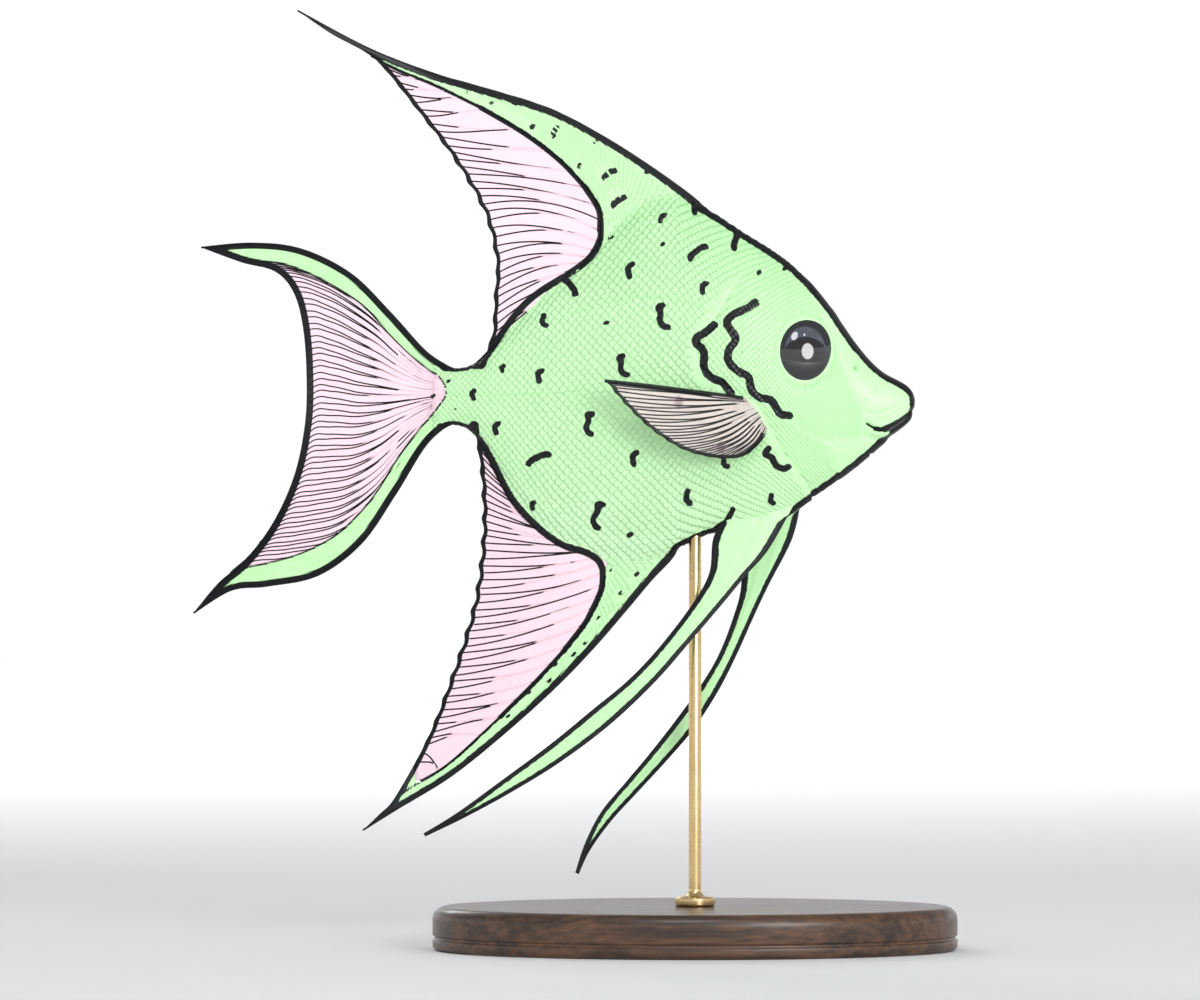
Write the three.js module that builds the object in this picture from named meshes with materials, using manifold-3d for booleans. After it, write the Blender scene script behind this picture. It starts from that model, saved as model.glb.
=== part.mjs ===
// Marble angelfish (Pterophyllum scalare, marble variety), a life-size museum model on a stand.
// Millimetres, +Z up. The head points to +X and the fish's left side faces +Y.
// The origin is the middle of the stand base's underside, straight below the rod.
//
// Shapes are drawn in the fish's own plane as [s, t]: s is the distance behind the snout tip
// and t the height above the body axis, which runs through the tail stalk.

import * as THREE from 'three';
import * as BufferGeometryUtils from 'three/addons/utils/BufferGeometryUtils.js';
import Module from 'manifold-3d';

const wasm = await Module();
wasm.setup();

// ---- driving dimensions --------------------------------------------------------------------

const STANDARD_LENGTH = 75; // snout tip to the base of the tail fin
const FLESH_END = STANDARD_LENGTH + 2.2; // where the flesh, thinning out, meets the tail fin
const SNOUT_X = 35.2; // the snout tip, in front of the rod
const AXIS_HEIGHT = 88.64; // the body axis above the floor
const GAP = 0.3; // between pieces that meet
const TAIL_FIN_START = FLESH_END + GAP;
const WIDE = 40; // half span of a cutter that goes right through the fish

const FIN_THICKNESS = 0.6;
const PELVIC_ROOT_THICKNESS = 1.1;

const EYE_CENTRE = [17.7, 7.2];
const EYE_LENGTH = 8.0; // what shows of the eye, along the fish
const EYE_HEIGHT = 9.3; // what shows of the eye, upright
const EYE_DEPTH = 5.2; // the whole eyeball, across the fish
const EYE_BULGE = 1.1; // how far the eyeball stands out of the head
const GILL_COVER_INNER_FACE = 2.0; // half width of the head under the gill covers

const ROD_RADIUS = 1.0;
const ROD_BEVEL = 0.4; // round the rod's top
const ROD_GRIP = 6; // depth of the rod in the belly
const ROD_SEAT = 4; // depth of the rod in the base
const COLLAR_RADIUS = 3.2;
const COLLAR_HEIGHT = 2.6;
const BASE_LENGTH = 84;
const BASE_WIDTH = 54;
const BASE_THICKNESS = 7;
const BASE_EDGE_RADIUS = 2;
const BASE_FOOT_BEVEL = 0.6;

// how finely each shape is divided
const RINGS_ALONG_BODY = 30;
const SIDES_AROUND_BODY = 20;
const EYE_SIDES = 16;
const EYE_RINGS = 10;
const ROD_SIDES = 20;
const BASE_SIDES = 40;
const BASE_EDGE_STEPS = 3;
const WELD = 1e-4; // corners closer than this are one

// ---- profiles of the body, as [s, value] knots ----------------------------------------------

const BACK = [
  [0, -0.9], [1.1, 1.5], [3.5, 2.9], [5.6, 4.2], [7.8, 6.4], [10.4, 9.8], [13.6, 14.4],
  [16.5, 18.0], [20, 21.4], [28, 26.7], [34.4, 30.6], [40, 31.7], [44, 30.0], [48, 26.4],
  [52, 22.2], [57, 17.6], [62, 13.4], [66, 9.5], [68.2, 7.2], [69.7, 5.8], [71.4, 4.9],
  [73.2, 4.6], [75.5, 4.85], [FLESH_END, 6.0],
];
const BELLY = [
  [0, -0.9], [1.3, -4.2], [3, -5.9], [5.6, -8.2], [10.4, -12.2], [17.1, -17.1], [21.6, -20.3],
  [26, -22.0], [31.5, -21.9], [35, -23.0], [38.4, -24.7], [42, -26.0], [46, -26.3],
  [50, -25.6], [55, -23.6], [60, -20.0], [64, -15.8], [67, -11.2], [69.2, -7.9],
  [71.2, -5.7], [73.2, -4.8], [75.5, -5.1], [FLESH_END, -6.5],
];
const HALF_WIDTH = [
  [0, 0], [0.6, 1.45], [2, 2.35], [5, 3.1], [9, 3.9], [14, 4.8], [20, 5.6], [27, 6.1],
  [34, 6.0], [42, 5.3], [50, 4.4], [58, 3.55], [66, 2.7], [72, 2.1], [75, 1.55],
  [FLESH_END, 0.7],
];
const WIDEST_LEVEL = [
  [0, -0.9], [5, -1.6], [12, 0.2], [20, 3.0], [28, 4.0], [40, 3.5], [55, 1.2], [66, 0.6],
  [FLESH_END, 0],
];
// 1 gives an oval section; more gives a section with a narrower keel
const BACK_KEEL = [
  [0, 1], [12, 1.08], [22, 1.24], [34, 1.42], [46, 1.5], [60, 1.4], [FLESH_END, 1],
];
const BELLY_KEEL = [
  [0, 1], [12, 1.08], [24, 1.1], [36, 1.12], [46, 1.4], [60, 1.36], [FLESH_END, 1],
];

// ---- where the body is parted, as closed outlines in [s, t] ----------------------------------

// the rear edge of the gill cover, carried up to the nape and down to the throat
const GILL_OPENING = [
  [24.5, 44], [26.5, 26.5], [28.8, 17.5], [32.2, 12.2], [34.9, 8.4], [34.4, 4.8], [32.2, 2.2],
  [29.2, 0.5], [26.3, -0.6], [24.4, -2.8], [22.9, -6.0], [20.2, -10.4], [17.4, -14.0],
  [14.5, -34],
];
const HEAD_REGION = [[-9, -34], [-9, 44], ...GILL_OPENING];
const LOWER_JAW_REGION = [
  [-6, -1.2], [0, -2.1], [1.3, -3.1], [3.0, -4.2], [5.0, -5.1], [7.3, -4.9], [9.4, -7.6],
  [11.4, -10.8], [13.0, -20], [-6, -20],
];
const GILL_COVER_REGION = [
  [26.8, 14.6], [29.4, 11.2], [29.5, 7.4], [27.6, 3.4], [24.4, 0.0], [20.3, -3.4],
  [16.6, -7.0], [13.6, -10.0], [16.2, -13.2], [19.2, -14.4], [26.0, -8.0], [30.0, -1.0],
  [38.5, 2.0], [38.5, 10.0], [31.2, 13.9],
];
const TAIL_STALK_REGION = [
  [63.2, 44], [62.2, 10], [61.8, 0], [62.2, -12], [63.2, -44], [90, -44], [90, 44],
];

// ---- fins, as edges in [s, t]; every root but the tail fin's starts inside the flesh ---------

const DORSAL = {
  root: [
    [33.0, 28.4], [37, 30.0], [42, 29.6], [48, 25.2], [54, 19.2], [60, 14.0], [65, 9.4],
    [69.4, 5.0],
  ],
  front: [
    [33.0, 28.4], [35.2, 31.2], [42.4, 36.5], [50.4, 41.6], [58.4, 45.7], [69.6, 49.2],
    [77.6, 51.6], [88.0, 55.9], [98.9, 61.8],
  ],
  rear: [[69.4, 5.0], [68.6, 7.4], [67.8, 9.8], [67.6, 12.0]],
  margin: [
    [98.9, 61.8], [93.4, 58.0], [88.4, 55.3], [85.2, 52.6], [79.2, 45.0], [73.6, 37.3],
    [69.0, 29.0], [67.2, 21.4], [67.4, 16.6], [67.6, 12.0],
  ],
};
const DORSAL_SPINE_REGION = [
  [20, 20], [46, 20], [50.2, 25.0], [50.4, 29.8], [52.6, 33.2], [56.8, 37.6], [62.5, 42.0],
  [69.6, 46.2], [77.0, 49.8], [84.0, 52.6], [92.0, 52.6], [110, 60], [110, 72], [20, 72],
];

const ANAL = {
  root: [
    [37.8, -22.6], [42, -24.2], [47, -24.6], [52, -23.4], [57, -20.8], [62, -16.4],
    [66.4, -10.4], [70.6, -4.8],
  ],
  front: [
    [37.8, -22.6], [38.9, -25.5], [42.4, -29.3], [46.4, -34.1], [52.0, -40.6], [58.4, -47.2],
    [66.4, -54.4], [74.4, -60.8], [82.4, -65.7], [88.3, -69.4],
  ],
  rear: [[70.6, -4.8], [70.4, -6.8], [70.0, -9.0]],
  margin: [
    [88.3, -69.4], [85.6, -66.8], [83.2, -64.2], [78.6, -55.8], [74.6, -45.4], [70.9, -33.3],
    [69.5, -22.6], [69.5, -14.6], [70.0, -9.0],
  ],
};
const ANAL_SPINE_REGION = [
  [20, -16], [46, -16], [50.0, -26.0], [49.9, -31.0], [52.0, -36.4], [56.8, -42.8],
  [63.2, -48.4], [69.6, -53.8], [76.0, -59.0], [81.6, -63.2], [85.5, -65.2], [100, -64],
  [100, -80], [20, -80],
];

const TAIL = {
  root: [[TAIL_FIN_START, 6.3], [TAIL_FIN_START, -0.3], [TAIL_FIN_START, -6.9]],
  front: [
    [TAIL_FIN_START, 6.3], [78.7, 7.3], [84.1, 13.3], [90.4, 19.5], [98.2, 23.4],
    [106.0, 24.4], [114.3, 23.8],
  ],
  rear: [
    [TAIL_FIN_START, -6.9], [78.8, -8.3], [83.3, -15.7], [88.7, -23.5], [95.6, -28.6],
    [103.6, -30.3], [109.4, -31.0], [115.4, -34.7],
  ],
  margin: [
    [114.3, 23.8], [107.8, 21.4], [102.4, 19.9], [99.4, 16.5], [97.9, 11.0], [97.3, 3.6],
    [97.5, -4.2], [99.2, -12.6], [102.6, -20.2], [107.1, -26.2], [111.4, -29.9],
    [115.4, -34.7],
  ],
};

// the upright fins' sideways wave: its size at the margin, its phase at the front ray in
// radians, and how far the phase turns from the front ray to the rear one
const DORSAL_WAVE = { size: 2.0, start: 0.4, turn: 4.2 };
const ANAL_WAVE = { size: -2.0, start: 0.7, turn: 3.8 };
const TAIL_WAVE = { size: 2.6, start: 0.97, turn: 3.4 };

const PECTORAL = {
  root: [[27.3, -0.6], [26.4, -2.8], [24.6, -5.0]],
  front: [[27.3, -0.6], [34.0, 0.4], [42.0, 1.4], [49.6, 2.2]],
  rear: [[24.6, -5.0], [25.0, -7.2], [26.6, -9.2]],
  margin: [
    [49.6, 2.2], [46.4, -1.6], [42.4, -5.4], [37.6, -8.5], [32.8, -9.9], [28.8, -10.0],
    [26.6, -9.2],
  ],
};
const PECTORAL_SPREAD = Math.tan(THREE.MathUtils.degToRad(19));
const PECTORAL_SINK = 0.8; // how deep the fin's root sits in the flesh

const PELVIC_RIGHT = {
  front: [
    [19.0, -16.6], [23.4, -24.4], [27.2, -28.8], [31.2, -33.6], [36.0, -39.2], [41.6, -45.6],
    [48.8, -52.4], [56.8, -58.4], [64.8, -63.3], [72.0, -67.2], [78.2, -70.2],
  ],
  rear: [
    [29.0, -17.6], [32.2, -22.4], [33.0, -28.4], [36.0, -33.7], [41.2, -40.4], [46.0, -45.4],
    [51.6, -50.0], [58.2, -55.4], [66.0, -61.2], [73.0, -66.3], [78.5, -69.7],
  ],
};
const PELVIC_LEFT = {
  front: [
    [18.0, -15.6], [19.5, -22.6], [23.4, -30.4], [26.0, -36.0], [28.3, -41.2], [31.3, -47.2],
    [35.2, -53.3], [39.5, -58.4], [44.3, -63.6], [48.6, -68.3], [52.0, -73.0], [53.8, -76.8],
  ],
  rear: [
    [29.0, -17.6], [28.0, -24.0], [27.8, -30.6], [29.2, -36.0], [31.4, -41.6], [34.2, -46.4],
    [38.2, -52.0], [42.4, -57.4], [46.4, -62.2], [50.2, -66.8], [52.8, -71.8], [54.4, -76.6],
  ],
};
const PELVIC_ROOT_Y = 1.5; // from the middle plane
const PELVIC_SPLAY = { size: 5.4, turn: 1.9, power: 1.2 }; // the fin's sideways bow
const PELVIC_THINNING = 1.6; // how soon the root's thickness gives way to the fin's

// faces of each fin along its rays and across them
const DORSAL_GRID = [14, 12];
const ANAL_GRID = [14, 12];
const TAIL_GRID = [12, 16];
const PECTORAL_GRID = [7, 8];
const PELVIC_GRID = [26, 2];

// ---- colours ---------------------------------------------------------------------------------

function finish(colour, roughness, metalness) {
  return new THREE.MeshStandardMaterial({ color: colour, roughness, metalness });
}

const FLESH = finish(0xcaffbf, 0.38, 0.0);
const SOFT_FIN = finish(0xfbdfea, 0.45, 0.0);
const PECTORAL_FIN = finish(0xebdfd7, 0.45, 0.0);
const EYE = finish(0x20242a, 0.08, 0.0);
const WOOD = finish(0x3d2616, 0.45, 0.0);
const BRASS = finish(0xb8945a, 0.3, 1.0);

// ---- curves and sections ---------------------------------------------------------------------

// Natural cubic spline through [x, value] knots, flat beyond its ends.
function spline(knots) {
  const last = knots.length - 1;
  const bend = new Array(last + 1).fill(0);
  const carry = new Array(last + 1).fill(0);
  for (let i = 1; i < last; i += 1) {
    const before = knots[i][0] - knots[i - 1][0];
    const after = knots[i + 1][0] - knots[i][0];
    const share = before / (before + after);
    const pivot = share * bend[i - 1] + 2;
    const turn = (knots[i + 1][1] - knots[i][1]) / after - (knots[i][1] - knots[i - 1][1]) / before;
    bend[i] = (share - 1) / pivot;
    carry[i] = ((6 * turn) / (before + after) - share * carry[i - 1]) / pivot;
  }
  for (let i = last - 1; i >= 0; i -= 1) {
    bend[i] = bend[i] * bend[i + 1] + carry[i];
  }
  return (x) => {
    const at = THREE.MathUtils.clamp(x, knots[0][0], knots[last][0]);
    let i = 0;
    while (i < last - 1 && at > knots[i + 1][0]) {
      i += 1;
    }
    const span = knots[i + 1][0] - knots[i][0];
    const a = (knots[i + 1][0] - at) / span;
    const b = 1 - a;
    const curve = ((a ** 3 - a) * bend[i] + (b ** 3 - b) * bend[i + 1]) * (span ** 2 / 6);
    return a * knots[i][1] + b * knots[i + 1][1] + curve;
  };
}

// A body profile is interpolated over the root of s, which rounds the snout.
function profile(knots) {
  const value = spline(knots.map(([s, v]) => [Math.sqrt(s), v]));
  return (s) => value(Math.sqrt(Math.max(s, 0)));
}

const backAt = profile(BACK);
const bellyAt = profile(BELLY);
const halfWidthAt = profile(HALF_WIDTH);
const widestLevelAt = profile(WIDEST_LEVEL);
const backKeelAt = profile(BACK_KEEL);
const bellyKeelAt = profile(BELLY_KEEL);

// Half the body's thickness at a point of its side.
function bodyHalfWidth(s, t) {
  const level = widestLevelAt(s);
  const above = t > level;
  const reach = above ? backAt(s) - level : level - bellyAt(s);
  const keel = above ? backKeelAt(s) : bellyKeelAt(s);
  const share = Math.min(Math.abs(t - level) / reach, 1);
  return halfWidthAt(s) * Math.sqrt(1 - share ** 2) ** keel;
}

// The place of a point of the fish: y is across it, positive on its left.
function place(s, y, t) {
  return new THREE.Vector3(SNOUT_X - s, y, AXIS_HEIGHT + t);
}

function curveThrough(points) {
  const curve = new THREE.SplineCurve(points.map(([s, t]) => new THREE.Vector2(s, t)));
  return (share) => curve.getPointAt(THREE.MathUtils.clamp(share, 0, 1));
}

// ---- closed solids ---------------------------------------------------------------------------

// Six times the volume inside a closed geometry, negative where its faces point in.
function signedVolume(geometry) {
  const spots = geometry.attributes.position;
  const corner = [new THREE.Vector3(), new THREE.Vector3(), new THREE.Vector3()];
  let sum = 0;
  for (let i = 0; i < geometry.index.count; i += 3) {
    corner.forEach((c, k) => c.fromBufferAttribute(spots, geometry.index.getX(i + k)));
    sum += corner[0].dot(corner[1].cross(corner[2]));
  }
  return sum;
}

function turnInsideOut(geometry) {
  const order = geometry.index.array;
  for (let i = 0; i < order.length; i += 3) {
    [order[i], order[i + 1]] = [order[i + 1], order[i]];
  }
}

// A three.js geometry as a solid that can be cut.
function toSolid(source) {
  const bare = source.clone();
  bare.deleteAttribute('normal');
  bare.deleteAttribute('uv');
  const geometry = BufferGeometryUtils.mergeVertices(bare, WELD);
  if (signedVolume(geometry) < 0) {
    turnInsideOut(geometry);
  }
  return new wasm.Manifold(new wasm.Mesh({
    numProp: 3,
    vertProperties: new Float32Array(geometry.attributes.position.array),
    triVerts: new Uint32Array(geometry.index.array),
  }));
}

function toGeometry(solid) {
  const mesh = solid.getMesh();
  const geometry = new THREE.BufferGeometry();
  geometry.setAttribute('position', new THREE.BufferAttribute(mesh.vertProperties, 3));
  geometry.setIndex(new THREE.BufferAttribute(mesh.triVerts, 1));
  return geometry;
}

function mapVertices(geometry, move) {
  const spots = geometry.attributes.position;
  const point = new THREE.Vector3();
  for (let i = 0; i < spots.count; i += 1) {
    point.fromBufferAttribute(spots, i);
    const moved = move(point);
    spots.setXYZ(i, moved.x, moved.y, moved.z);
  }
  return geometry;
}

// The whole body from the snout to the end of the flesh, grown by a margin. Its rings lie
// closer together towards the snout, which starts at a small share of the square root of s.
function bodySolid(margin) {
  const nose = 0.03;
  const geometry = new THREE.CylinderGeometry(1, 1, 1, SIDES_AROUND_BODY, RINGS_ALONG_BODY);
  return toSolid(mapVertices(geometry, (p) => {
    const along = nose + (1 - nose) * (0.5 - p.y);
    const s = FLESH_END * along ** 2;
    const level = widestLevelAt(s);
    const above = p.z >= 0;
    const reach = (above ? backAt(s) - level : level - bellyAt(s)) + margin;
    const keel = above ? backKeelAt(s) : bellyKeelAt(s);
    const across = Math.sign(p.x) * Math.abs(p.x) ** keel * (halfWidthAt(s) + margin);
    return place(s - margin * (1 - along), across, level + reach * p.z);
  }));
}

// A cutter through the fish: a closed [s, t] outline drawn from y = low to y = high.
function cutter(outline, low = -WIDE, high = WIDE) {
  const corners = outline.map(([s, t]) => new THREE.Vector2(SNOUT_X - s, AXIS_HEIGHT + t));
  const shape = new THREE.Shape(corners);
  const geometry = new THREE.ExtrudeGeometry(shape, { depth: high - low, bevelEnabled: false });
  geometry.rotateX(Math.PI / 2);
  geometry.translate(0, high, 0);
  return toSolid(geometry);
}

// A closed outline moved outwards by a distance, each corner along its two edges' mean normal.
function grown(outline, distance) {
  const turn = THREE.ShapeUtils.area(outline.map(([x, y]) => ({ x, y }))) > 0 ? 1 : -1;
  const count = outline.length;
  const normal = (from, to) => {
    const across = new THREE.Vector2(to[1] - from[1], from[0] - to[0]);
    return across.multiplyScalar(turn).normalize();
  };
  return outline.map((corner, i) => {
    const before = normal(outline[(i + count - 1) % count], corner);
    const after = normal(corner, outline[(i + 1) % count]);
    const way = before.clone().add(after).normalize();
    const step = distance / Math.max(way.dot(before), 0.5);
    return [corner[0] + way.x * step, corner[1] + way.y * step];
  });
}

function ellipsoid(radii, centre) {
  const geometry = new THREE.SphereGeometry(1, EYE_SIDES, EYE_RINGS);
  geometry.scale(radii.x, radii.y, radii.z);
  geometry.translate(centre.x, centre.y, centre.z);
  return toSolid(geometry);
}

// ---- fins ------------------------------------------------------------------------------------

// A patch between four edges: u runs from root to margin, v from the front ray to the rear one.
function finPatch({ root, front, rear, margin }) {
  const [rootAt, frontAt, rearAt, marginAt] = [root, front, rear, margin].map(curveThrough);
  return (u, v) => {
    const rays = frontAt(u).lerp(rearAt(u), v);
    const arcs = rootAt(v).lerp(marginAt(v), u);
    const low = rootAt(0).lerp(rootAt(1), v);
    const high = marginAt(0).lerp(marginAt(1), v);
    return rays.add(arcs).sub(low.lerp(high, u));
  };
}

// A long fin between its front and rear edges only.
function bladePatch({ front, rear }) {
  const [frontAt, rearAt] = [front, rear].map(curveThrough);
  return (u, v) => frontAt(u).lerp(rearAt(u), v);
}

// A sheet over a patch; swayAt(u, v, point) is its middle's y, and thicknessAt(u) its thickness.
function finSheet(patch, grid, swayAt, thicknessAt = () => FIN_THICKNESS) {
  const geometry = new THREE.BoxGeometry(1, 1, 1, ...grid, 1);
  return toSolid(mapVertices(geometry, (p) => {
    const u = p.x + 0.5;
    const v = p.y + 0.5;
    const point = patch(u, v);
    return place(point.x, swayAt(u, v, point) + p.z * thicknessAt(u), point.y);
  }));
}

// The upright fins lie in the middle plane and wave gently towards their margins.
function uprightFin(edges, grid, { size, start, turn }) {
  return finSheet(finPatch(edges), grid, (u, v) => size * u ** 2 * Math.cos(start + turn * v));
}

function pectoralFin(side) {
  const patch = finPatch(PECTORAL);
  const sway = (u, v, point) => {
    const start = patch(0, v);
    const reach = point.distanceTo(start);
    const rootY = bodyHalfWidth(start.x, start.y) - PECTORAL_SINK;
    return side * (rootY + PECTORAL_SPREAD * reach);
  };
  return finSheet(patch, PECTORAL_GRID, sway);
}

function pelvicFin(edges, side) {
  const { size, turn, power } = PELVIC_SPLAY;
  const sway = (u) => side * (PELVIC_ROOT_Y + size * Math.sin(u * turn) ** power);
  const thickness = (u) => {
    const thinned = Math.min(u * PELVIC_THINNING, 1);
    return THREE.MathUtils.lerp(PELVIC_ROOT_THICKNESS, FIN_THICKNESS, thinned);
  };
  return finSheet(bladePatch(edges), PELVIC_GRID, sway, thickness);
}

// ---- eyes and stand --------------------------------------------------------------------------

// The eyeball is an ellipsoid that the head's surface cuts to the length and height that show.
function eyeSolid(side, margin) {
  const depth = EYE_DEPTH / 2;
  const y = side * (bodyHalfWidth(...EYE_CENTRE) + EYE_BULGE - depth);
  const shown = Math.sqrt(1 - (1 - EYE_BULGE / depth) ** 2);
  const radii = new THREE.Vector3(EYE_LENGTH / 2 / shown, depth, EYE_HEIGHT / 2 / shown);
  return ellipsoid(radii.addScalar(margin), place(EYE_CENTRE[0], y, EYE_CENTRE[1]));
}

// A turned solid about the Z axis from [radius, z] points, starting and ending on the axis.
function turned(points, sides) {
  const geometry = new THREE.LatheGeometry(points.map(([r, z]) => new THREE.Vector2(r, z)), sides);
  geometry.rotateX(Math.PI / 2);
  return geometry;
}

function rodTop() {
  return AXIS_HEIGHT + bellyAt(SNOUT_X) + ROD_GRIP;
}

function rodSolid() {
  const foot = BASE_THICKNESS - ROD_SEAT;
  const seat = BASE_THICKNESS + GAP;
  return toSolid(turned([
    [0, foot], [ROD_RADIUS, foot], [ROD_RADIUS, seat], [COLLAR_RADIUS, seat],
    [COLLAR_RADIUS, seat + COLLAR_HEIGHT * 0.5], [COLLAR_RADIUS * 0.6, seat + COLLAR_HEIGHT * 0.75],
    [ROD_RADIUS, seat + COLLAR_HEIGHT], [ROD_RADIUS, rodTop() - ROD_BEVEL],
    [ROD_RADIUS - ROD_BEVEL, rodTop()], [0, rodTop()],
  ], ROD_SIDES));
}

// A hole for the rod from z = low to z = high, all round it by the gap.
function rodHole(low, high) {
  const radius = ROD_RADIUS + GAP;
  return toSolid(turned([[0, low], [radius, low], [radius, high], [0, high]], ROD_SIDES));
}

function baseSolid() {
  const outer = BASE_LENGTH / 2;
  const rim = [];
  for (let i = 0; i <= BASE_EDGE_STEPS; i += 1) {
    const angle = (i / BASE_EDGE_STEPS) * (Math.PI / 2);
    rim.push([
      outer - BASE_EDGE_RADIUS * (1 - Math.cos(angle)),
      BASE_THICKNESS - BASE_EDGE_RADIUS * (1 - Math.sin(angle)),
    ]);
  }
  const plate = turned([
    [0, 0], [outer - BASE_FOOT_BEVEL, 0], [outer, BASE_FOOT_BEVEL], ...rim, [0, BASE_THICKNESS],
  ], BASE_SIDES);
  plate.scale(1, BASE_WIDTH / BASE_LENGTH, 1);
  return toSolid(plate);
}

// ---- the model -------------------------------------------------------------------------------

const RIGHT = -1;
const LEFT = 1;
const model = new THREE.Group();

function add(name, solid, material) {
  const mesh = new THREE.Mesh(toGeometry(solid), material);
  mesh.name = name;
  model.add(mesh);
}

function addBody(body) {
  const front = body.intersect(cutter(HEAD_REGION));
  const jaw = front.intersect(cutter(LOWER_JAW_REGION));
  let head = front.subtract(cutter(grown(LOWER_JAW_REGION, GAP)));
  [RIGHT, LEFT].forEach((side) => {
    const faces = [side * GILL_COVER_INNER_FACE, side * WIDE].sort((a, b) => a - b);
    const pocket = [side * (GILL_COVER_INNER_FACE - GAP), side * WIDE].sort((a, b) => a - b);
    const cover = front.intersect(cutter(GILL_COVER_REGION, ...faces));
    head = head.subtract(cutter(grown(GILL_COVER_REGION, GAP), ...pocket));
    head = head.subtract(eyeSolid(side, GAP));
    const suffix = side === RIGHT ? 'right' : 'left';
    add(`gill_cover_${suffix}`, cover, FLESH);
    add(`eye_${suffix}`, eyeSolid(side, 0), EYE);
  });
  const trunk = body
    .subtract(cutter(grown(HEAD_REGION, GAP)))
    .subtract(cutter(grown(TAIL_STALK_REGION, GAP)))
    .subtract(rodHole(BASE_THICKNESS, rodTop() + GAP));
  add('head', head, FLESH);
  add('jaw_lower', jaw, FLESH);
  add('trunk', trunk, FLESH);
  add('tail_stalk', body.intersect(cutter(TAIL_STALK_REGION)), FLESH);
}

function addFins() {
  const room = bodySolid(GAP);
  const dorsal = uprightFin(DORSAL, DORSAL_GRID, DORSAL_WAVE).subtract(room);
  const anal = uprightFin(ANAL, ANAL_GRID, ANAL_WAVE).subtract(room);
  add('dorsal_fin_spines', dorsal.intersect(cutter(DORSAL_SPINE_REGION)), FLESH);
  add('dorsal_fin_sail', dorsal.subtract(cutter(grown(DORSAL_SPINE_REGION, GAP))), SOFT_FIN);
  add('anal_fin_spines', anal.intersect(cutter(ANAL_SPINE_REGION)), FLESH);
  add('anal_fin_sail', anal.subtract(cutter(grown(ANAL_SPINE_REGION, GAP))), SOFT_FIN);
  add('tail_fin', uprightFin(TAIL, TAIL_GRID, TAIL_WAVE), SOFT_FIN);
  add('pectoral_fin_right', pectoralFin(RIGHT).subtract(room), PECTORAL_FIN);
  add('pectoral_fin_left', pectoralFin(LEFT).subtract(room), PECTORAL_FIN);
  add('pelvic_fin_right', pelvicFin(PELVIC_RIGHT, RIGHT).subtract(room), FLESH);
  add('pelvic_fin_left', pelvicFin(PELVIC_LEFT, LEFT).subtract(room), FLESH);
}

function addStand() {
  const seat = rodHole(BASE_THICKNESS - ROD_SEAT - GAP, BASE_THICKNESS + COLLAR_HEIGHT);
  add('stand_base', baseSolid().subtract(seat), WOOD);
  add('stand_rod', rodSolid(), BRASS);
}

addBody(bodySolid(0));
addFins();
addStand();

export default model;
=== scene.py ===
"""A marble angelfish, life size, held by a slim rod on an oval base.

Shapes are worked out in the fish's own plane, as in the CAD: s is the distance behind the
snout tip and t the height above the body axis, both in millimetres, and y is the distance
from the middle plane, positive on the fish's left.
"""

import math

import bpy
import numpy as np
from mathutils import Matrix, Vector


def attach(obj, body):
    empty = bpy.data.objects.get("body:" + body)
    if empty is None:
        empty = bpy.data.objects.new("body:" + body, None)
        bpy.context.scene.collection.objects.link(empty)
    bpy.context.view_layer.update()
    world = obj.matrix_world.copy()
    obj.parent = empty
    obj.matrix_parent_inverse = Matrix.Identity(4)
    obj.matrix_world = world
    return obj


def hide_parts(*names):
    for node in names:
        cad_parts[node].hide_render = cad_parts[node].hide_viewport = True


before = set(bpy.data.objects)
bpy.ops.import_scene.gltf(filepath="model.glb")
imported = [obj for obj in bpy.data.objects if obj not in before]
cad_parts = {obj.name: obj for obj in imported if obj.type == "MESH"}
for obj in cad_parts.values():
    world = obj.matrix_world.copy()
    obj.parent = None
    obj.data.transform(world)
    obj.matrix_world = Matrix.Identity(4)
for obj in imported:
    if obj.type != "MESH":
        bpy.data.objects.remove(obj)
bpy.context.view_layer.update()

RNG_SEED = 7
MM = 0.001

# ---- driving dimensions, millimetres ---------------------------------------------------------

SNOUT_X = 35.2
AXIS_HEIGHT = 88.64
STANDARD_LENGTH = 75.0
FLESH_END = STANDARD_LENGTH + 2.2
COAT_DEPTH = 0.16  # how far the skin lies inside the CAD flesh, under the scales
BACK_HEIGHT = 30.0  # the height above the axis that the skin's shading calls 1

EYE_CENTRE = (17.7, 7.2)
EYE_LENGTH = 8.0
EYE_HEIGHT = 9.3
EYE_DEPTH = 5.2
EYE_BULGE = 1.1

RIGHT = -1
LEFT = 1

# ---- profiles of the body, as (s, value) knots -----------------------------------------------

BACK = [
    (0, -0.9), (1.1, 1.5), (3.5, 2.9), (5.6, 4.2), (7.8, 6.4), (10.4, 9.8), (13.6, 14.4),
    (16.5, 18.0), (20, 21.4), (28, 26.7), (34.4, 30.6), (40, 31.7), (44, 30.0), (48, 26.4),
    (52, 22.2), (57, 17.6), (62, 13.4), (66, 9.5), (68.2, 7.2), (69.7, 5.8), (71.4, 4.9),
    (73.2, 4.6), (75.5, 4.85), (FLESH_END, 6.0),
]
BELLY = [
    (0, -0.9), (1.3, -4.2), (3, -5.9), (5.6, -8.2), (10.4, -12.2), (17.1, -17.1),
    (21.6, -20.3), (26, -22.0), (31.5, -21.9), (35, -23.0), (38.4, -24.7), (42, -26.0),
    (46, -26.3), (50, -25.6), (55, -23.6), (60, -20.0), (64, -15.8), (67, -11.2),
    (69.2, -7.9), (71.2, -5.7), (73.2, -4.8), (75.5, -5.1), (FLESH_END, -6.5),
]
HALF_WIDTH = [
    (0, 0), (0.6, 1.45), (2, 2.35), (5, 3.1), (9, 3.9), (14, 4.8), (20, 5.6), (27, 6.1),
    (34, 6.0), (42, 5.3), (50, 4.4), (58, 3.55), (66, 2.7), (72, 2.1), (75, 1.55),
    (FLESH_END, 0.7),
]
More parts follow.
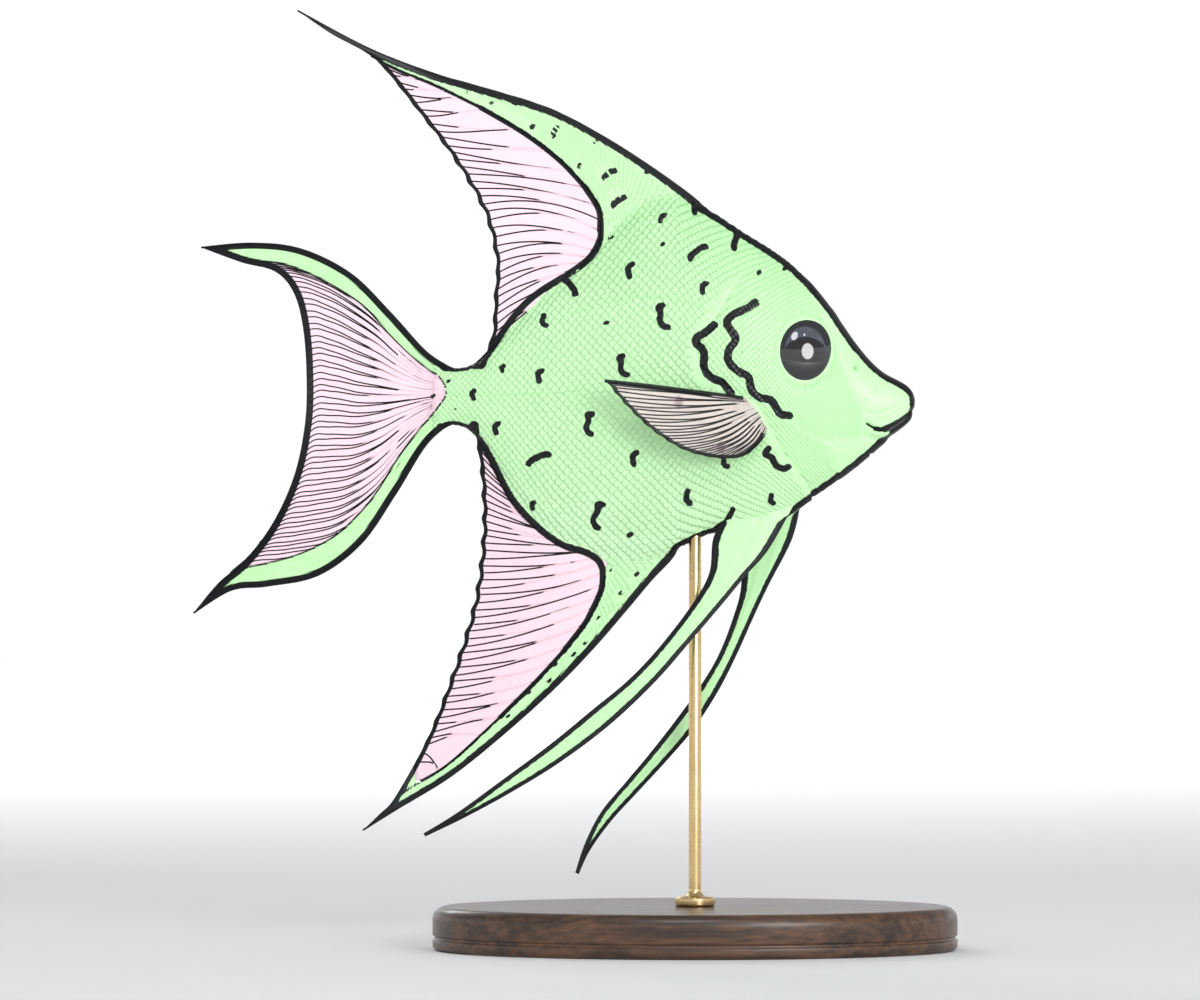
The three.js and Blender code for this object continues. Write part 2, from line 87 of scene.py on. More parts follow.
WIDEST_LEVEL = [
    (0, -0.9), (5, -1.6), (12, 0.2), (20, 3.0), (28, 4.0), (40, 3.5), (55, 1.2), (66, 0.6),
    (FLESH_END, 0),
]
BACK_KEEL = [
    (0, 1), (12, 1.08), (22, 1.24), (34, 1.42), (46, 1.5), (60, 1.4), (FLESH_END, 1),
]
BELLY_KEEL = [
    (0, 1), (12, 1.08), (24, 1.1), (36, 1.12), (46, 1.4), (60, 1.36), (FLESH_END, 1),
]

# the low sheath of scaled skin that climbs each upright fin's foot: its height above the flesh
DORSAL_SHEATH = [
    (0, 0), (33, 0), (37, 1.6), (43, 3.0), (48, 2.4), (51, 0.9), (54, 0.7), (57, 1.6),
    (60, 2.3), (62.6, 2.3), (64.8, 1.6), (66.6, 0.9), (69, 0.4), (71, 0), (FLESH_END, 0),
]
ANAL_SHEATH = [
    (0, 0), (37.5, 0), (40, 1.8), (44, 2.2), (48, 1.9), (50, 1.1), (52.8, 0.9), (56, 1.6),
    (59.2, 1.9), (62, 2.0), (64.4, 1.8), (66.4, 1.3), (68, 0.7), (69.5, 0.4), (71, 0),
    (FLESH_END, 0),
]


# ---- curves ----------------------------------------------------------------------------------

TINY = 1e-12  # keeps a division by a length of nothing finite


def profile(knots):
    """The natural cubic spline through (s, value) knots, taken over the root of s.

    The root rounds the snout. Beyond its knots the curve is flat.
    """
    x = np.sqrt([s for s, _ in knots])
    v = np.array([value for _, value in knots], float)
    gap = np.diff(x)
    count = len(x)
    system = np.eye(count)
    turn = np.zeros(count)
    for i in range(1, count - 1):
        system[i, i - 1:i + 2] = gap[i - 1], 2 * (gap[i - 1] + gap[i]), gap[i]
        turn[i] = 6 * ((v[i + 1] - v[i]) / gap[i] - (v[i] - v[i - 1]) / gap[i - 1])
    bend = np.linalg.solve(system, turn)

    def value_at(s):
        at = np.clip(np.sqrt(np.maximum(s, 0)), x[0], x[-1])
        i = np.clip(np.searchsorted(x, at) - 1, 0, count - 2)
        a = (x[i + 1] - at) / gap[i]
        b = 1 - a
        curved = ((a**3 - a) * bend[i] + (b**3 - b) * bend[i + 1]) * gap[i] ** 2 / 6
        return a * v[i] + b * v[i + 1] + curved

    return value_at


def linear(knots):
    """Straight lines between (x, value) knots, flat beyond their ends."""
    x, v = zip(*knots)
    return lambda at: np.interp(at, x, v)


def smooth(low, high, x):
    """0 below low, 1 above high, and an even rise between them."""
    share = np.clip((x - low) / (high - low), 0, 1)
    return share * share * (3 - 2 * share)


def hill(x, width):
    """1 at nought, falling off evenly on both sides."""
    return np.exp(-((x / width) ** 2))


def turns(count):
    """Angles spaced evenly round a circle."""
    return np.arange(count) * 2 * math.pi / count


def hermite(u, start, leaving, end, arriving):
    """The cubic curve between two points, with the slopes at its ends."""
    return ((2 * u**3 - 3 * u**2 + 1) * start + (u**3 - 2 * u**2 + u) * leaving
            + (3 * u**2 - 2 * u**3) * end + (u**3 - u**2) * arriving)


def dense(points, step=0.25):
    """Points along the Catmull-Rom curve through [s, t] points, about a step apart."""
    p = np.array(points, float)
    slope = (np.vstack([p[1:], p[-1:]]) - np.vstack([p[:1], p[:-1]])) / 2
    made = []
    for a, b, leaving, arriving in zip(p[:-1], p[1:], slope[:-1], slope[1:]):
        count = max(2, int(np.hypot(*(b - a)) / step) + 1)
        u = np.linspace(0, 1, count, endpoint=False)[:, None]
        made.append(hermite(u, a, leaving, b, arriving))
    return np.vstack([*made, p[-1:]])


class Route:
    """A line of [s, t] points, asked for by its share of the arc length."""

    def __init__(self, points):
        self.points = np.asarray(points, float)
        steps = np.hypot(*np.diff(self.points, axis=0).T)
        self.arc = np.concatenate([[0], np.cumsum(steps)])
        self.length = self.arc[-1]

    def __call__(self, share):
        at = np.clip(share, 0, 1) * self.length
        return np.stack([np.interp(at, self.arc, axis) for axis in self.points.T], axis=-1)

    def part(self, start, end, count=80):
        """A stretch between two shares of the length."""
        return Route(self(np.linspace(start, end, count)))


def curve(knots):
    """The route along the curve through a few [s, t] points."""
    return Route(dense(knots, 0.1))


def distance_to(line, s, t):
    """Distance from points to a polyline, and the side of it that they lie on, as a sign."""
    best = np.full(np.shape(s), np.inf)
    side = np.zeros(np.shape(s))
    for (s0, t0), (s1, t1) in zip(line[:-1], line[1:]):
        ds, dt = s1 - s0, t1 - t0
        length = math.hypot(ds, dt) + TINY
        share = np.clip(((s - s0) * ds + (t - t0) * dt) / length**2, 0, 1)
        gap = np.hypot(s - s0 - share * ds, t - t0 - share * dt)
        nearer = gap < best
        best = np.where(nearer, gap, best)
        side = np.where(nearer, np.sign(ds * (t - t0) - dt * (s - s0)), side)
    return best, side


def inside(outline, s, t):
    """Whether points lie inside a closed [s, t] outline."""
    found = np.zeros(np.shape(s), bool)
    for (s0, t0), (s1, t1) in zip(outline, outline[1:] + outline[:1]):
        if t0 != t1:
            crosses = (t0 > t) != (t1 > t)
            found ^= crosses & (s < s0 + (t - t0) * (s1 - s0) / (t1 - t0))
    return found


back_at = profile(BACK)
belly_at = profile(BELLY)
half_width_at = profile(HALF_WIDTH)
widest_level_at = profile(WIDEST_LEVEL)
back_keel_at = profile(BACK_KEEL)
belly_keel_at = profile(BELLY_KEEL)
dorsal_sheath_at = linear(DORSAL_SHEATH)
anal_sheath_at = linear(ANAL_SHEATH)


def lens_width(s, t):
    """Half the flesh's thickness at a point of its side, as in the CAD."""
    level = widest_level_at(s)
    above = t > level
    reach = np.where(above, back_at(s) - level, level - belly_at(s))
    keel = np.where(above, back_keel_at(s), belly_keel_at(s))
    share = np.minimum(np.abs(t - level) / np.maximum(reach, TINY), 1)
    return half_width_at(s) * np.sqrt(1 - share**2) ** keel


def place(s, y, t):
    """The place in the frame, in metres, of a point of the fish."""
    s, y, t = np.broadcast_arrays(s, y, t)
    return np.stack([SNOUT_X - s, y, AXIS_HEIGHT + t], axis=-1) * MM


# ---- meshes ----------------------------------------------------------------------------------

class Shape:
    """Gathers vertices, faces and per-vertex attributes, and turns them into one object."""

    def __init__(self):
        self.spots = []
        self.faces = []
        self.values = {}
        self.patches = []
        self.count = 0

    def add(self, spots, faces, flat=(), patch=None, **values):
        """Adds spots in metres and their faces, arrays of 3 or 4 columns; flat ones too.

        values are attributes, 0 where none is given; patch holds the map's coordinates.
        """
        self.spots.append(np.asarray(spots, float).reshape(-1, 3))
        number = len(self.spots[-1])
        for groups, is_smooth in ((faces, True), (flat, False)):
            for group in groups:
                self.faces.append((np.asarray(group, int) + self.count, is_smooth))
        for name in sorted(set(self.values) | set(values)):
            earlier = self.values.setdefault(name, [np.zeros(self.count)])
            given = np.asarray(values.get(name, 0.0), float).ravel()
            earlier.append(np.broadcast_to(given, (number,)).copy())
        self.patches.append(np.zeros((number, 2)) if patch is None else patch)
        self.count += number

    def build(self, name, material, closed=True, uv=False):
        """The object; closed shapes have their faces turned to point out."""
        spots = np.concatenate(self.spots)
        if closed and enclosed_volume(spots, self.faces) < 0:
            self.faces = [(group[:, ::-1], is_smooth) for group, is_smooth in self.faces]
        corners = np.concatenate([group.ravel() for group, _ in self.faces])
        sides = np.concatenate([np.full(len(g), g.shape[1]) for g, _ in self.faces])
        soft = np.concatenate([np.full(len(g), is_smooth) for g, is_smooth in self.faces])
        mesh = bpy.data.meshes.new(name)
        mesh.vertices.add(len(spots))
        mesh.vertices.foreach_set("co", spots.astype(np.float32).ravel())
        mesh.loops.add(len(corners))
        mesh.loops.foreach_set("vertex_index", corners.astype(np.int32))
        mesh.polygons.add(len(sides))
        starts = np.concatenate([[0], np.cumsum(sides)[:-1]])
        mesh.polygons.foreach_set("loop_start", starts.astype(np.int32))
        mesh.polygons.foreach_set("use_smooth", soft)
        mesh.update(calc_edges=True)
        for key, value in self.values.items():
            attribute = mesh.attributes.new(key, "FLOAT", "POINT")
            attribute.data.foreach_set("value", np.concatenate(value).astype(np.float32))
        if uv:
            layer = mesh.uv_layers.new(name="OFBake")
            patch = np.concatenate(self.patches)[corners]
            layer.data.foreach_set("uv", patch.astype(np.float32).ravel())
        mesh.materials.append(material)
        thing = bpy.data.objects.new(name, mesh)
        bpy.context.scene.collection.objects.link(thing)
        return thing


def enclosed_volume(spots, faces):
    """Six times the volume inside a closed mesh, negative where its faces point in."""
    total = 0.0
    middle = spots.mean(0)
    for group, _ in faces:
        for third in range(2, group.shape[1]):
            a, b, c = (spots[group[:, k]] - middle for k in (0, third - 1, third))
            total += np.einsum("ij,ij->", a, np.cross(b, c))
    return total


def grid_faces(rows, columns, closed=False):
    """The quads of a grid of rows x columns vertices; closed joins each row's ends."""
    i = np.arange(rows - 1)[:, None]
    j = np.arange(columns if closed else columns - 1)[None, :]
    after = (j + 1) % columns
    corners = [i * columns + j, i * columns + after, (i + 1) * columns + after,
               (i + 1) * columns + j]
    return np.stack([np.broadcast_to(c, (rows - 1, j.shape[1])) for c in corners],
                    axis=-1).reshape(-1, 4)


def fan(middle, first, columns):
    """Triangles from a middle vertex to a ring of vertices that starts at first."""
    j = np.arange(columns)
    return np.stack([np.full(columns, middle), first + j, first + (j + 1) % columns], -1)


def end_fans(rows, columns):
    """Fans that close a tube of rings with the two points that follow its vertices."""
    count = rows * columns
    return np.vstack([fan(count, 0, columns)[:, [0, 2, 1]],
                      fan(count + 1, count - columns, columns)])


def install(thing, slot, *nodes):
    """Attaches a piece to the one body and hides the nodes that it replaces; slot is not used.
    """
    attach(thing, "root")
    if nodes:
        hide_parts(*nodes)


# ---- markings --------------------------------------------------------------------------------

# the soft sails' edges, as [s, t] points; the rest of each fin is the green strip before it
DORSAL_FRONT = [
    (33.0, 28.4), (35.2, 31.2), (42.4, 36.5), (50.4, 41.6), (58.4, 45.7), (69.6, 49.2),
    (77.6, 51.6), (88.0, 55.9), (98.9, 61.8),
]
DORSAL_MARGIN = [
    (98.9, 61.8), (93.4, 58.0), (88.4, 55.3), (85.2, 52.6), (79.2, 45.0), (73.6, 37.3),
    (69.0, 29.0), (67.2, 21.4), (67.4, 16.6), (67.6, 12.0),
]
DORSAL_REAR = [(69.4, 5.0), (68.6, 7.4), (67.8, 9.8), (67.6, 12.0)]
DORSAL_SEAM = [
    (50.6, 22.8), (50.4, 26.5), (50.6, 29.8), (52.8, 33.4), (56.9, 37.7), (62.5, 42.0),
    (69.6, 46.2), (77.0, 49.8), (82.6, 52.1), (87.57, 54.6),
]
DORSAL_STRIP_ROOT = [(33, 28.4), (37, 30), (42, 29.6), (46.5, 27), (50.6, 22.8)]
DORSAL_SAIL_ROOT = [(50.6, 22.8), (54, 19.2), (60, 14), (65, 9.4), (69.4, 5)]

ANAL_FRONT = [
    (37.8, -22.6), (38.9, -25.5), (42.4, -29.3), (46.4, -34.1), (52.0, -40.6), (58.4, -47.2),
    (66.4, -54.4), (74.4, -60.8), (82.4, -65.7), (88.3, -69.4),
]
ANAL_MARGIN = [
    (88.3, -69.4), (85.6, -66.8), (83.2, -64.2), (78.6, -55.8), (74.6, -45.4), (70.9, -33.3),
    (69.5, -22.6), (69.5, -14.6), (70.0, -9.0),
]
ANAL_REAR = [(70.6, -4.8), (70.4, -6.8), (70.0, -9.0)]
ANAL_SEAM = [
    (48.6, -24.4), (49.3, -26.8), (50.2, -31), (52.3, -35.6), (56.2, -40.8), (60.6, -45.6),
    (66.4, -51.4), (74.4, -58.7), (79.5, -61.9), (83.4, -64.4),
]
ANAL_STRIP_ROOT = [(37.8, -22.6), (42, -24.2), (48.6, -24.4)]
ANAL_SAIL_ROOT = [
    (48.6, -24.4), (52, -23.4), (57, -20.8), (62, -16.4), (66.4, -10.4), (70.6, -4.8),
]

# the dark line between the scaled body and each soft sail
DORSAL_BODY_LINE = [
    (50.1, 27.4), (50.4, 25.0), (51.8, 22.4), (54.0, 20.5), (56.8, 18.7), (60.0, 16.7),
    (62.6, 14.5), (64.8, 11.9), (66.6, 9.3), (68.6, 6.4), (70.4, 4.8),
]
ANAL_BODY_LINE = [
    (50.0, -27.6), (50.8, -26.2), (52.8, -25.0), (56.0, -24.0), (59.2, -22.0), (62.0, -19.4),
    (64.4, -16.6), (66.4, -13.0), (68.0, -9.8), (69.6, -7.2), (71.4, -5.2),
]

TAIL_FRONT = [
    (73.4, 4.0), (75.2, 4.8), (78.7, 7.3), (84.1, 13.3), (90.4, 19.5), (98.2, 23.4),
    (106.0, 24.4), (114.3, 23.8),
]
TAIL_REAR = [
    (73.4, -4.0), (75.8, -5.2), (78.8, -8.3), (83.3, -15.7), (88.7, -23.5), (95.6, -28.6),
    (103.6, -30.3), (109.4, -31.0), (115.4, -34.7),
]
TAIL_MARGIN = [
    (114.3, 23.8), (107.8, 21.4), (102.4, 19.9), (99.4, 16.5), (97.9, 11.0), (97.3, 3.6),
    (97.5, -4.2), (99.2, -12.6), (102.6, -20.2), (107.1, -26.2), (111.4, -29.9),
    (115.4, -34.7),
]
TAIL_ROOT = [(73.4, 4.0), (73.4, 0.0), (73.4, -4.0)]
TAIL_PINK = [
    (104.2, 21.6), (100.5, 21.0), (96, 19.2), (92, 17), (88, 14.2), (84, 9.8), (80.8, 6.6),
    (78, 4.3), (76, 3.0), (75, 0.6), (76, -1.4), (77.6, -3.4), (80, -6.2), (82.9, -10.2),
    (85.6, -14.6), (88, -17.8), (92, -21.8), (96, -24.2), (100, -25.8), (104.8, -27.0),
    (108.0, -27.6),
]
BEYOND_TAIL = [(112, -27.8), (112, 21.8)]  # closes the pink's outline

PECTORAL_ROOT = [(26.3, -0.6), (24.6, -2.6), (23.7, -4.8)]
PECTORAL_FRONT = [(26.3, -0.6), (34.0, 0.4), (42.0, 1.4), (49.6, 2.2)]
PECTORAL_REAR = [(23.7, -4.8), (24.5, -7.0), (26.6, -9.2)]
PECTORAL_MARGIN = [
    (49.6, 2.2), (46.4, -1.6), (42.4, -5.4), (37.6, -8.5), (32.8, -9.9), (28.8, -10.0),
    (26.6, -9.2),
]

GILL_LINE = [
    (25.6, 14.8), (27.4, 13.7), (29.3, 12.8), (30.2, 11.6), (29.6, 10.5), (28.8, 9.2),
    (29.1, 8.3), (29.9, 7.1), (30.0, 5.7), (29.2, 4.5), (27.9, 3.6), (26.8, 3.0), (26.5, 1.8),
    (26.0, 0.5), (24.8, -0.4), (23.3, -0.7), (22.5, -1.7), (21.7, -2.9), (20.3, -3.2),
]
SHOULDER_LINE = [
    (32.2, 11.3), (33.6, 10.1), (35.0, 9.2), (35.1, 8.3), (34.1, 7.4), (33.8, 6.3),
    (33.9, 4.8), (33.3, 3.4), (32.2, 2.6), (31.0, 2.1), (30.1, 1.1), (29.5, 0.2),
]

# how each kind of mark runs, from its middle; a mark is (s, t, kind, size, turn in degrees)
MARK_KINDS = {
    "hook": [(-0.45, 0.91), (0.1, 0.55), (0.26, 0.1), (0.02, -1.07)],
    "heel": [(-0.45, -0.91), (0.1, -0.55), (0.26, -0.1), (0.02, 1.07)],
    "squiggle": [(-0.29, 1.79), (0.46, 1.44), (0.03, 0.51), (0.19, -0.54), (-0.29, -1.47),
                 (-1.09, -1.74)],
    "wave": [(-0.86, 0.58), (-0.34, 0.45), (0.59, -0.21), (0.85, -0.61)],
}
MARKS = [
    (57.6, 42.3, "wave", 0.7, -30), (48.9, 35.5, "wave", 1.0, 0), (47.4, 31.1, "wave", 1.1, 0),
    (40.5, 28.5, "hook", 0.6, 22), (35.2, 30.0, "hook", 0.7, 5), (34.8, 22.9, "wave", 1.5, -2),
    (28.5, 24.9, "wave", 1.3, -35), (33.9, 17.3, "hook", 0.75, 10),
    (45.7, 20.1, "hook", 1.0, 0), (55.2, 17.4, "wave", 1.35, 88),
    (59.4, 12.0, "heel", 0.85, 0), (40.7, 12.6, "squiggle", 1.0, 0),
    (47.0, 4.8, "squiggle", 0.85, 0), (66.0, 4.4, "hook", 0.4, 0),
    (60.1, 3.2, "hook", 0.85, 0), (70.7, 0.2, "hook", 0.6, -10),
    (67.0, -5.1, "hook", 0.75, 0), (52.3, -4.4, "squiggle", 0.9, 15),
    (60.2, -10.1, "wave", 1.7, 10), (45.0, -10.0, "hook", 0.95, 0),
    (61.2, -17.5, "hook", 0.5, 0), (51.0, -19.0, "squiggle", 1.05, 25),
    (36.4, -16.3, "heel", 1.0, 0), (22.6, -10.4, "squiggle", 1.2, -35),
    (23.0, -16.6, "heel", 0.65, 0), (30.5, -10.9, "heel", 0.6, -20),
    (37.8, -1.2, "heel", 1.0, 0),
]
MARK_WIDTH = 1.0
DOTS = [
    (71.7, 48.6, 0.5), (67.7, 46.9, 0.8), (64.0, 46.7, 0.9), (61.2, 43.1, 1.1),
    (54.4, 43.3, 0.9), (51.1, 40.7, 0.8), (53.7, 36.8, 1.1), (42.9, 35.8, 0.9),
    (48.7, 25.4, 1.0), (40.4, 24.2, 0.9), (49.4, 11.6, 1.0), (74.6, 2.4, 0.7),
    (73.5, -2.1, 0.4), (77.1, 0.0, 0.8), (25.0, 19.7, 1.0), (20.8, 20.4, 0.9),
    (45.6, -22.2, 1.1), (31.4, -8.8, 0.9), (48.5, -27.8, 0.8), (44.5, -28.5, 0.9),
    (47.0, -31.5, 0.9), (50.2, -31.7, 0.7), (50.7, -35.5, 0.7), (52.8, -39.5, 0.7),
    (54.7, -41.3, 1.1), (57.6, -43.0, 0.7), (58.6, -45.6, 0.7), (61.8, -47.5, 0.7),
    (65.1, -51.2, 0.6),
]
DOT_WIDTH = 0.75
DOT_SPAN = [(-0.15, 0.1), (0.15, -0.1)]

MOUTH = [
    (0.1, -2.1), (1.3, -3.1), (3.0, -4.3), (5.0, -5.3), (6.4, -5.25), (7.8, -4.5),
]
LOWER_LIP = [(0.9, -3.3), (2.0, -4.3), (3.0, -5.1), (3.7, -5.6)]
PELVIC_CREASE = [(29.2, -18.2), (30.2, -20.0), (31.8, -21.1)]

# the dark lines that both sides share, each with its half width
CURVED_LINES = [
    (GILL_LINE, 0.65), (SHOULDER_LINE, 0.65), (PELVIC_CREASE, 0.45),
    (MOUTH, 0.17), (MOUTH[1:5], 0.4), (MOUTH[2:4], 0.52), (LOWER_LIP, 0.55),
    (DORSAL_BODY_LINE, 0.55), (DORSAL_SEAM[6:], 0.27), (DORSAL_SEAM[3:7], 0.42),
    (DORSAL_SEAM[1:4], 0.5), (ANAL_BODY_LINE, 0.55), (ANAL_SEAM[6:], 0.22),
    (ANAL_SEAM[4:7], 0.36), (ANAL_SEAM[2:5], 0.46), ([(50.0, -27.6), *ANAL_SEAM[2:4]], 0.5),
    ([(34.4, 30.6), *DORSAL_FRONT[1:]], 0.8), (DORSAL_MARGIN, 0.75), (DORSAL_REAR, 0.75),
    ([(38.1, -24.6), *ANAL_FRONT[1:]], 0.75), (ANAL_MARGIN, 0.78), (ANAL_REAR, 0.8),
    (TAIL_FRONT[1:], 0.8), (TAIL_REAR[1:], 0.85), (TAIL_MARGIN, 1.1), (TAIL_PINK, 0.15),
]
# the stretches of the body's outline that are dark: from s, to s, half width
BACK_LINES = [(0, 2, 0.9), (1, 9, 1.05), (9, 34.6, 1.15), (70.4, 75.4, 0.65)]
BELLY_LINES = [(0, 5, 0.9), (5, 19.5, 1.1), (30.5, 38.2, 0.9), (71.4, 76.0, 0.7)]
FAR_FROM_INK = 3.0  # beyond this the distance to a marking is of no use

# how far the left side's marks are shifted at most: along s, along t, and turned, in degrees
MARK_SHIFT = (2.4, 1.8, 50)
DOT_SHIFT = (1.2, 0.8)


def mark_strokes(side):
    """The marks of one side as (line, half width); the left side's are the right's, shifted."""
    shift = np.random.default_rng(RNG_SEED + 1)
    strokes = []
    for s, t, kind, size, turn in MARKS:
        moved = shift.uniform(-1, 1, 3) * MARK_SHIFT * (side == LEFT)
        angle = math.radians(turn + moved[2])
        line = dense(MARK_KINDS[kind], 0.3) * size
        turned = np.stack([
            line[:, 0] * math.cos(angle) - line[:, 1] * math.sin(angle),
            line[:, 0] * math.sin(angle) + line[:, 1] * math.cos(angle),
        ], axis=-1)
        strokes.append((turned + (s, t) + moved[:2],
                        MARK_WIDTH / 2 * (0.7 + 0.3 * min(size, 1.2))))
    for s, t, size in DOTS:
        middle = (s, t) + shift.uniform(-1, 1, 2) * DOT_SHIFT * (side == LEFT)
        strokes.append((middle + DOT_SPAN, DOT_WIDTH / 2 * size))
    return strokes


def line_strokes():
    """The dark lines that both sides share: gill lines, seams, edges of body and fins."""
    strokes = [(dense(knots), half) for knots, half in CURVED_LINES]
    for height_at, stretches in ((back_at, BACK_LINES), (belly_at, BELLY_LINES)):
        for start, end, half in stretches:
            s = np.linspace(start, end, 60)
            strokes.append((np.stack([s, height_at(s)], axis=-1), half))
    return strokes


STROKES = {side: line_strokes() + mark_strokes(side) for side in (RIGHT, LEFT)}


def ink_at(s, t, side):
    """Signed distance in millimetres to the nearest dark marking, negative inside it."""
    s, t = np.asarray(s, float), np.asarray(t, float)
    best = np.full(s.shape, FAR_FROM_INK)
    for line, half in STROKES[side]:
        reach = half + FAR_FROM_INK
        low, high = line.min(axis=0) - reach, line.max(axis=0) + reach
        near = (s > low[0]) & (s < high[0]) & (t > low[1]) & (t < high[1])
        if near.any():
            gap = distance_to(line, s[near], t[near])[0] - half
            best[near] = np.minimum(best[near], gap)
    return best


def in_pink(s, t):
    """The distance inside the tail's soft pink middle, negative in its green lobes."""
    gap = np.minimum(distance_to(dense(TAIL_PINK), s, t)[0], 1.0)
    outline = [tuple(point) for point in dense(TAIL_PINK, 1.0)] + BEYOND_TAIL
    return np.where(inside(outline, s, t), gap, -gap)


def pink_of(s, t):
    """How pink points of the body are: only the tail fin's root is pink."""
    pink = np.full(s.shape, -1.0)
    near = s > TAIL_FRONT[0][0]
    pink[near] = in_pink(s[near], t[near])
    return pink


# ---- the skin --------------------------------------------------------------------------------

RING_POINTS = 256
QUARTER = RING_POINTS // 4
END_TAPER = 1.3  # length over which the flesh thins to nothing round the tail fin's root
SHEATH_ROOT = 3.0  # how far below the back and above the belly the sheaths start

LIP_FOLD = [(1.2, 0.3), (2.6, -1.3), (4.6, -2.5), (6.6, -2.9), (8.2, -2.5)]
CHIN_FOLD = [(2.6, -6.3), (4.8, -7.1), (6.8, -7.2), (8.3, -6.4)]
NOSTRIL = (9.5, 4.5)
GILL_OPENING = [
    (28.8, 17.5), (32.2, 12.2), (34.9, 8.4), (34.4, 4.8), (32.2, 2.2), (29.2, 0.5),
    (26.3, -0.6), (24.4, -2.8), (22.9, -6.0), (20.2, -10.4), (17.4, -14.0), (16.2, -17.2),
]
CHEEK_EDGE = [
    (25.6, 14.8), (28.6, 12.2), (29.2, 8.6), (29.2, 5.4), (27.4, 2.6), (25.2, -0.2),
    (21.8, -3.0), (17.6, -5.8), (13.6, -7.8),
]
PORES = [
    (6.4, 0.9), (8.2, -0.7), (10.6, -2.1), (13.2, -2.7), (16.0, -2.6), (11.8, 9.4),
    (4.6, -7.9), (7.0, -9.4), (9.6, -10.9), (12.6, -12.4), (27.9, 10.4), (28.0, 7.0),
    (26.6, 3.6), (24.2, 0.9), (20.6, -2.0),
]
PORE_RADIUS = 0.24

# the face's folds: height, half width, and how far from the line that they follow they run
LIPS, CLEFT, LIP_CREASE = (0.24, 0.42, 0.72), (-0.42, 0.24, 0), (-0.10, 0.3, 1.55)
LIP_GROOVE, CHIN_GROOVE = (-0.16, 0.3, 0), (-0.14, 0.3, 0)
EYE_RING, EYE_FURROW = (0.24, 0.36, 0.42), (-0.12, 0.4, 1.35)
NOSTRIL_PIT, NOSTRIL_BRIM = (-0.55, 0.34, 0), (0.16, 0.22, 0.62)
PORE_PIT, PORE_BRIM = (-0.2, PORE_RADIUS, 0), (0.035, 0.2, 0.5)
# edges of the gill cover and the cheek: height, length over which it dies away, blur
FLAP, SLOT = (0.24, 1.6, 0.08), (-0.30, 0.8, 0.08)
CHEEK_RISE, CHEEK_FALL = (0.16, 1.3, 0.15), (-0.12, 0.6, 0.15)
# cheek muscle, brow, and the hollow before the eye: height, middle s and t, half widths
MOUNDS = [(0.28, 20.5, -1.2, 4.2, 3.4), (0.14, 15.2, 13.2, 3.4, 1.0),
          (-0.16, 11.6, 5.4, 1.8, 3.0)]
SOCKET_DEPTH = 1.0
RELIEF_END = 38  # behind this the skin has no relief of its own
BLADE = (0.35, 0.6)  # the sheaths' half thickness at the upper edge, and what the foot adds


def ring_stations():
    """Where the skin's rings lie: close on the head, wider apart behind it."""
    return np.concatenate([
        np.arange(0.08, 0.74, 0.08) ** 2,
        np.arange(0.58, 12, 0.12),
        np.arange(12, 36, 0.2),
        np.arange(36, FLESH_END - END_TAPER, 0.5),
        np.linspace(FLESH_END - END_TAPER, FLESH_END, 9),
    ])


def skin_width(s, t):
    """Half the thickness of flesh and sheaths together."""
    total = lens_width(s, t) ** 3
    for climbed, height in ((t - back_at(s) + SHEATH_ROOT, dorsal_sheath_at(s)),
                            (belly_at(s) + SHEATH_ROOT - t, anal_sheath_at(s))):
        share = np.clip(climbed / (SHEATH_ROOT + height), 0, 1)
        blade = (BLADE[0] + BLADE[1] * (1 - share) ** 2) * np.sqrt(1 - share**6)
        total = total + (blade * (climbed > 0) * smooth(0, 1.0, height)) ** 3
    return np.cbrt(total)


def ring_profiles(stations):
    """Each ring's points down one side, evenly spaced above and below the widest level."""
    quarter = np.linspace(0, math.pi / 2, 400)
    rows, lengths = [], []
    for s in stations:
        level = float(widest_level_at(s))
        thinned = max(s - FLESH_END + END_TAPER, 0) / END_TAPER
        taper = math.sqrt(max(1 - thinned**2, 0.0004))
        halves = []
        for end in (back_at(s) + dorsal_sheath_at(s), belly_at(s) - anal_sheath_at(s)):
            t = level + (float(end) - level) * np.sin(quarter)
            w = skin_width(s, t) * taper
            w[-1] = 0
            arc = np.concatenate([[0], np.cumsum(np.hypot(np.diff(t), np.diff(w)))])
            even = np.linspace(0, arc[-1], QUARTER + 1)
            halves.append((np.interp(even, arc, t), np.interp(even, arc, w), arc[-1]))
        up, down = halves
        rows.append([np.concatenate([up[k][::-1], down[k][1:]]) for k in (0, 1)])
        lengths.append((up[2], down[2]))
    t_rows, w_rows = zip(*rows)
    return np.array(t_rows), np.array(w_rows), np.array(lengths)


def eye_share(s, t):
    """1 on the eye's outline, less inside it."""
    return np.hypot((s - EYE_CENTRE[0]) / (EYE_LENGTH / 2),
                    (t - EYE_CENTRE[1]) / (EYE_HEIGHT / 2))


def nakedness(s, t):
    """1 where the face has bare skin, 0 where it is scaled."""
    snout = 1 - smooth(-0.6, 0.6, s - 8.2 - 0.42 * np.maximum(t + 3, 0))
    jaw = 1 - smooth(-0.6, 0.6, s - 12.6 - 0.35 * (t + 12))
    jaw = jaw * smooth(-6.4, -7.4, t)
    round_eye = 1 - smooth(1.14, 1.3, eye_share(s, t))
    return np.clip(np.maximum(np.maximum(snout, jaw), round_eye), 0, 1)


def folds(gap, *ridges):
    """The relief of ridges and furrows at a distance from the line that they follow."""
    return sum(height * hill(gap - away, width) for height, width, away in ridges)


def brink(past, height, length, blur):
    """An edge's relief at a distance past it: full at the edge and dying away behind it."""
    return height * np.exp(-np.maximum(past, 0) / length) * smooth(-blur, blur, past)


